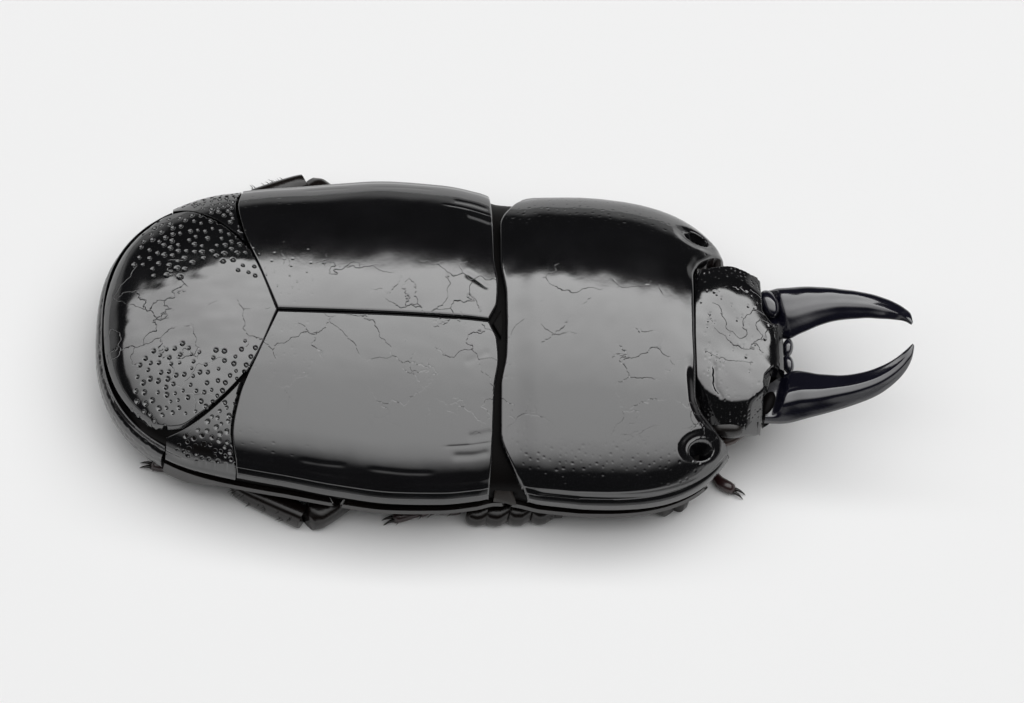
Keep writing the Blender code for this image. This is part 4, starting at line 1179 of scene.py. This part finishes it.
LEGS = {
    "fore": {"hip": (1.45, 0.62), "knee": (2.72, 2.36), "ankle": (2.98, 1.02),
             "toes": [(3.10, 0.86), (3.38, 1.06), (3.43, 1.46), (3.56, 1.77), (3.83, 1.93)],
             "femur_width": 0.56, "tibia_width": 0.46, "teeth": (0.14, 0.32)},
    "mid": {"hip": (-0.05, 0.90), "knee": (1.12, 2.40), "ankle": (-0.52, 2.47),
            "toes": [(-0.62, 2.46), (-0.96, 2.46), (-1.36, 2.56), (-1.74, 2.68)],
            "femur_width": 0.54, "tibia_width": 0.42, "teeth": (0.30, 0.52, 0.74, 0.92)},
    "hind": {"hip": (-1.25, 1.02), "knee": (-3.05, 2.84), "ankle": (-4.22, 2.18),
             "toes": [(-4.32, 2.10), (-4.78, 1.99), (-5.22, 1.92), (-5.62, 1.88)],
             "femur_width": 0.60, "tibia_width": 0.46, "teeth": ()},
}
# The left hind leg reaches further out than the right one.
LEFT_HIND = {"knee": (-3.14, 3.38), "ankle": (-4.16, 2.88),
             "toes": [(-4.28, 2.74), (-4.74, 2.60), (-5.18, 2.42), (-5.56, 2.24)]}
TOOTH_LENGTH = 0.11
TOOTH_WIDTH = 0.15
TARSUS_WIDTH = (0.20, 0.19)
TARSUS_JOINTS = (0.0, 0.17, 0.32, 0.46, 0.60, 1.0)
FEMUR_WIDTH = through((0, 0.50), (0.06, 0.72), (0.25, 0.95), (0.55, 1.0), (0.82, 0.92),
                      (0.95, 0.74), (1.0, 0.45))
FEMUR_HEIGHT = through((0, 0.80), (0.06, 0.92), (0.25, 1.0), (0.82, 1.0), (0.95, 0.9), (1.0, 0.7))
TIBIA_WIDTH = through((0, 0.50), (0.05, 0.66), (0.2, 0.78), (0.5, 0.92), (0.8, 1.0), (0.94, 0.92),
                      (1.0, 0.62))
TIBIA_HEIGHT = through((0, 0.8), (0.05, 0.95), (0.2, 1.0), (0.8, 0.95), (0.94, 0.85), (1.0, 0.7))


def leg_plan(pair, side):
    plan = LEGS[pair]
    if pair == "hind" and side == LEFT:
        plan = plan | LEFT_HIND
    return {key: mirrored(value, side) if key in ("hip", "knee", "ankle", "toes") else value
            for key, value in plan.items()}


def flat_path(start, end, at):
    plan = start + (end - start) * at[:, None]
    return np.column_stack([plan, np.zeros(len(at))])


def outward_of(start, end, hip):
    """The level direction across a limb that points away from the hip."""
    along = np.append(unit(end - start), 0)
    outward = np.cross(along, (0, 0, 1))
    return outward * np.sign(outward[:2] @ ((start + end) / 2 - hip))


def bristles(start, end, outward, widths, places, seed, length):
    """Short stiff hairs along the outer edge of a limb."""
    draw = np.random.default_rng(seed)
    along = np.append(end - start, 0)
    solids = []
    for place in places:
        root = np.append(start, 0) + along * place + outward * np.interp(place, *widths) * 0.46
        root[2] = LEG_THICKNESS * draw.uniform(0.25, 0.7)
        way = outward + unit(along) * draw.uniform(0.2, 0.9)
        way[2] += draw.uniform(-0.2, 0.25)
        tip = root + unit(way) * length * draw.uniform(0.7, 1.2)
        solids.append(spike(root, tip, BRISTLE_RADIUS, curve=(0, 0, 0.01)))
    return solids


def leg_bone(path, widths, heights):
    """A flat-bottomed part of a leg that stands on the floor."""
    return limb(path, widths, heights, sides=36, fullness=0.75, on_floor=True)


def make_femur(pair, side):
    plan = leg_plan(pair, side)
    at = stations(60, 0.4, 0.4, 0.1)
    path = flat_path(plan["hip"], plan["knee"], at)
    widths = plan["femur_width"] * FEMUR_WIDTH(at)
    heights = LEG_THICKNESS * FEMUR_HEIGHT(at)
    solid = leg_bone(path, widths, heights)
    add_piece("thigh_" + pair, [solid], LEG, "leg", "femur_" + pair, side=side)


KNEE_GAP = 0.08


def make_tibia(pair, side):
    """The shin, with blunt teeth and stiff hairs along its outer edge."""
    plan = leg_plan(pair, side)
    knee, ankle = plan["knee"], plan["ankle"]
    at = KNEE_GAP + (1 - KNEE_GAP) * stations(140, 0.4, 0.4, 0.1)
    widths = plan["tibia_width"] * TIBIA_WIDTH(at)
    heights = LEG_THICKNESS * 0.9 * TIBIA_HEIGHT(at)
    outward = outward_of(knee, ankle, plan["hip"])
    reach = np.zeros(len(at))
    for place in plan["teeth"]:
        gap = (at - place) * np.linalg.norm(ankle - knee) / TOOTH_WIDTH
        lobe = np.where(gap > 0, 1 - gap * 1.9, 1 + gap * 0.75)
        reach = np.maximum(reach, TOOTH_LENGTH * np.clip(lobe, 0, 1))
    path = flat_path(knee, ankle, at) + outward * reach[:, None] / 2
    solids = [leg_bone(path, widths + reach, heights)]
    seed = 90 + len(pair) + int(side)
    draw = np.random.default_rng(seed)
    places = np.sort(draw.uniform(0.15, 0.98, 22))
    solids += bristles(knee, ankle, outward, (at, widths), places, seed, 0.09)
    solids += bristles(knee, ankle, -outward, (at, widths), places[::3], seed + 1, 0.06)
    add_piece("shin_" + pair, solids, LEG, "leg", "tibia_" + pair, side=side)


def make_tarsus(pair, side):
    """Five short joints with hairs below, and a pair of curved claws."""
    toes = leg_plan(pair, side)["toes"]
    route = np.column_stack([toes, np.zeros(len(toes))])
    solids = []
    sizes = np.linspace(*TARSUS_WIDTH, len(TARSUS_JOINTS) - 1)
    draw = np.random.default_rng(100 + len(pair))
    for k, size in enumerate(sizes):
        at = np.linspace(0, 1, 12)
        start, end = TARSUS_JOINTS[k:k + 2]
        path = bend(route, start + (end - start) * (0.03 + 0.94 * at))
        widths = size * (0.66 + 0.34 * smooth_step(at, 0, 0.6))
        widths *= np.sqrt(np.clip(1 - np.clip((at - 0.72) / 0.29, 0, 1) ** 2, 0.02, 1))
        solids.append(limb(path, widths, widths, sides=18, fullness=0.95, on_floor=True))
        for turn in (LEFT, RIGHT):
            way = unit(path[9] - path[6])
            across = np.cross(way, (0, 0, 1)) * turn
            root = path[8] + across * size * 0.34 + (0, 0, size * draw.uniform(0.25, 0.6))
            tip = root + across * 0.05 + way * 0.09 - (0, 0, 0.02)
            solids.append(spike(root, tip, 0.009))
    add_piece("foot_" + pair, solids, TARSUS, "tarsus", "tarsus_" + pair, side=side)
    make_claws(pair, side, route)


def make_claws(pair, side, route):
    before, tip = bend(route, [0.88, 1.0])
    ahead = unit(tip - before)
    across = np.cross(ahead, (0, 0, 1))
    claws = []
    for turn in (LEFT, RIGHT):
        root = tip - ahead * 0.06 + across * turn * 0.03 + (0, 0, 0.07)
        end = tip + ahead * 0.14 + across * turn * 0.045 + (0, 0, 0.012)
        claws.append(spike(root, end, 0.030, curve=(0, 0, 0.035), sides=10, rings=12))
    add_piece("claws_" + pair, claws, LEG, "leg", side=side)


# The whole beetle

def make_beetle():
    make_shade_sheet()
    make_pronotum()
    make_scutellum()
    make_propygidium()
    make_pygidium()
    make_head()
    make_labrum()
    make_underside("breast_plate_front", "prosternum", CHEST_REAR, CHEST_FRONT, 55)
    make_underside("breast_plate_middle", "metasternum", THORAX_REAR, THORAX_FRONT, 56)
    make_underside("belly_plates", "abdomen", BELLY_REAR, BELLY_FRONT, 57,
                   furrows=(0.25, 0.5, 0.75))
    for side in (LEFT, RIGHT):
        for make in (make_elytron, make_mesepimeron, make_tergite, make_mandible, make_condyle,
                     make_eye, make_antenna, make_palp):
            make(side)
        for pair in LEGS:
            for make in (make_femur, make_tibia, make_tarsus):
                make(pair, side)


# Floor, light and camera, in metres

FLOOR_REACH = 3.0
FLOOR_TONE = 0.87


def grey(level):
    return level, level, level, 1


def make_floor():
    mesh = bpy.data.meshes.new("floor")
    corners = [(x * FLOOR_REACH, y * FLOOR_REACH, 0)
               for x, y in ((-1, -1), (1, -1), (1, 1), (-1, 1))]
    mesh.from_pydata(corners, [], [(0, 1, 2, 3)])
    floor = add_object("floor", mesh)
    material = bpy.data.materials.new("plain_floor")
    tree = node_tree(material)
    connect(tree, tree.nodes["Principled BSDF"], {
        "Base Color": grey(FLOOR_TONE), "Roughness": 0.9, "Specular IOR Level": 0.0})
    mesh.materials.append(material)


SOFTBOX_HEIGHT = 0.30
SOFTBOX_X = (-0.56, 0.40)
SOFTBOX_Y = (-0.30, 0.25)
SOFTBOX_POWER = 6.2
# How bright the softbox is along its width and depth, as (share, level) stops.
BRIGHT_ALONG = ((0.0, 0.0), (0.06, 0.42), (0.30, 0.68), (0.46, 0.87), (0.56, 1.0),
                (0.94, 1.0), (1.0, 0.0))
BRIGHT_ACROSS = ((0.0, 0.0), (0.08, 0.04), (0.18, 0.17), (0.30, 0.38), (0.42, 0.48),
                 (0.68, 0.52), (0.84, 0.72), (0.97, 0.98), (1.0, 0.0))


def ramp(tree, place, stops):
    """A grey level along a place that runs from 0 to 1."""
    node = add_node(tree, "ValToRGB", {0: place})
    marks = node.color_ramp.elements
    while len(marks) < len(stops):
        marks.new(0.5)
    for mark, (at, level) in zip(marks, stops):
        mark.position = at
        mark.color = grey(level)
    return node.outputs["Color"]


def make_softbox():
    lamp = bpy.data.lights.new("softbox", "AREA")
    lamp.shape = "RECTANGLE"
    lamp.size = SOFTBOX_X[1] - SOFTBOX_X[0]
    lamp.size_y = SOFTBOX_Y[1] - SOFTBOX_Y[0]
    lamp.energy = SOFTBOX_POWER
    tree = node_tree(lamp)
    place = add_node(tree, "NewGeometry", {}).outputs["Parametric"]
    split = add_node(tree, "SeparateXYZ", {0: place}).outputs
    strength = math_node(tree, "MULTIPLY", ramp(tree, split["X"], BRIGHT_ALONG),
                         ramp(tree, split["Y"], BRIGHT_ACROSS))
    connect(tree, tree.nodes["Emission"], {"Strength": strength})
    softbox = add_object("softbox", lamp)
    softbox.location = (sum(SOFTBOX_X) / 2, sum(SOFTBOX_Y) / 2, SOFTBOX_HEIGHT)


ROOM_DARK = 0.02
ROOM_PALE = 0.45
HORIZON_BAND = (0.10, 0.26)
BACKDROP_TONE = 0.80


def make_room():
    """A dim room with a pale band near the horizon; the camera sees a plain pale backdrop."""
    world = bpy.data.worlds.new("room")
    bpy.context.scene.world = world
    tree = node_tree(world)
    way = add_node(tree, "TexCoord", {}).outputs["Generated"]
    up = add_node(tree, "SeparateXYZ", {0: way}).outputs["Z"]
    light = tree.nodes["Background"]
    connect(tree, light, {"Color": map_range(tree, up, HORIZON_BAND, (ROOM_PALE, ROOM_DARK),
                                             "SMOOTHSTEP")})
    backdrop = add_node(tree, "Background", {"Color": grey(BACKDROP_TONE)})
    ray = add_node(tree, "LightPath", {}).outputs["Is Camera Ray"]
    choose = add_node(tree, "MixShader", {0: ray, 1: light.outputs[0], 2: backdrop.outputs[0]})
    connect(tree, tree.nodes["World Output"], {"Surface": choose.outputs[0]})


CAMERA_TARGET = Vector((0.000135, 0.00005, 0.00083))
CAMERA_DISTANCE = 0.0914
CAMERA_ELEVATION = math.radians(60.5)
CAMERA_AZIMUTH = math.radians(-10.0)
CAMERA_ROLL = math.radians(11.2)
LENS_LENGTH = 200           # millimetres, like the sensor
SENSOR_WIDTH = 36


def make_camera():
    lens = bpy.data.cameras.new("camera")
    lens.lens = LENS_LENGTH
    lens.sensor_width = SENSOR_WIDTH
    lens.clip_start = 0.001
    camera = add_object("camera", lens)
    level = math.cos(CAMERA_ELEVATION)
    away = Vector((math.sin(CAMERA_AZIMUTH) * level, -math.cos(CAMERA_AZIMUTH) * level,
                   math.sin(CAMERA_ELEVATION)))
    camera.location = CAMERA_TARGET + away * CAMERA_DISTANCE
    aim = (-away).to_track_quat("-Z", "Y")
    camera.rotation_mode = "QUATERNION"
    camera.rotation_quaternion = aim @ Euler((0, 0, CAMERA_ROLL)).to_quaternion()
    bpy.context.scene.camera = camera


make_beetle()
make_floor()
make_softbox()
make_room()
make_camera()
bpy.context.scene.view_settings.view_transform = "Standard"
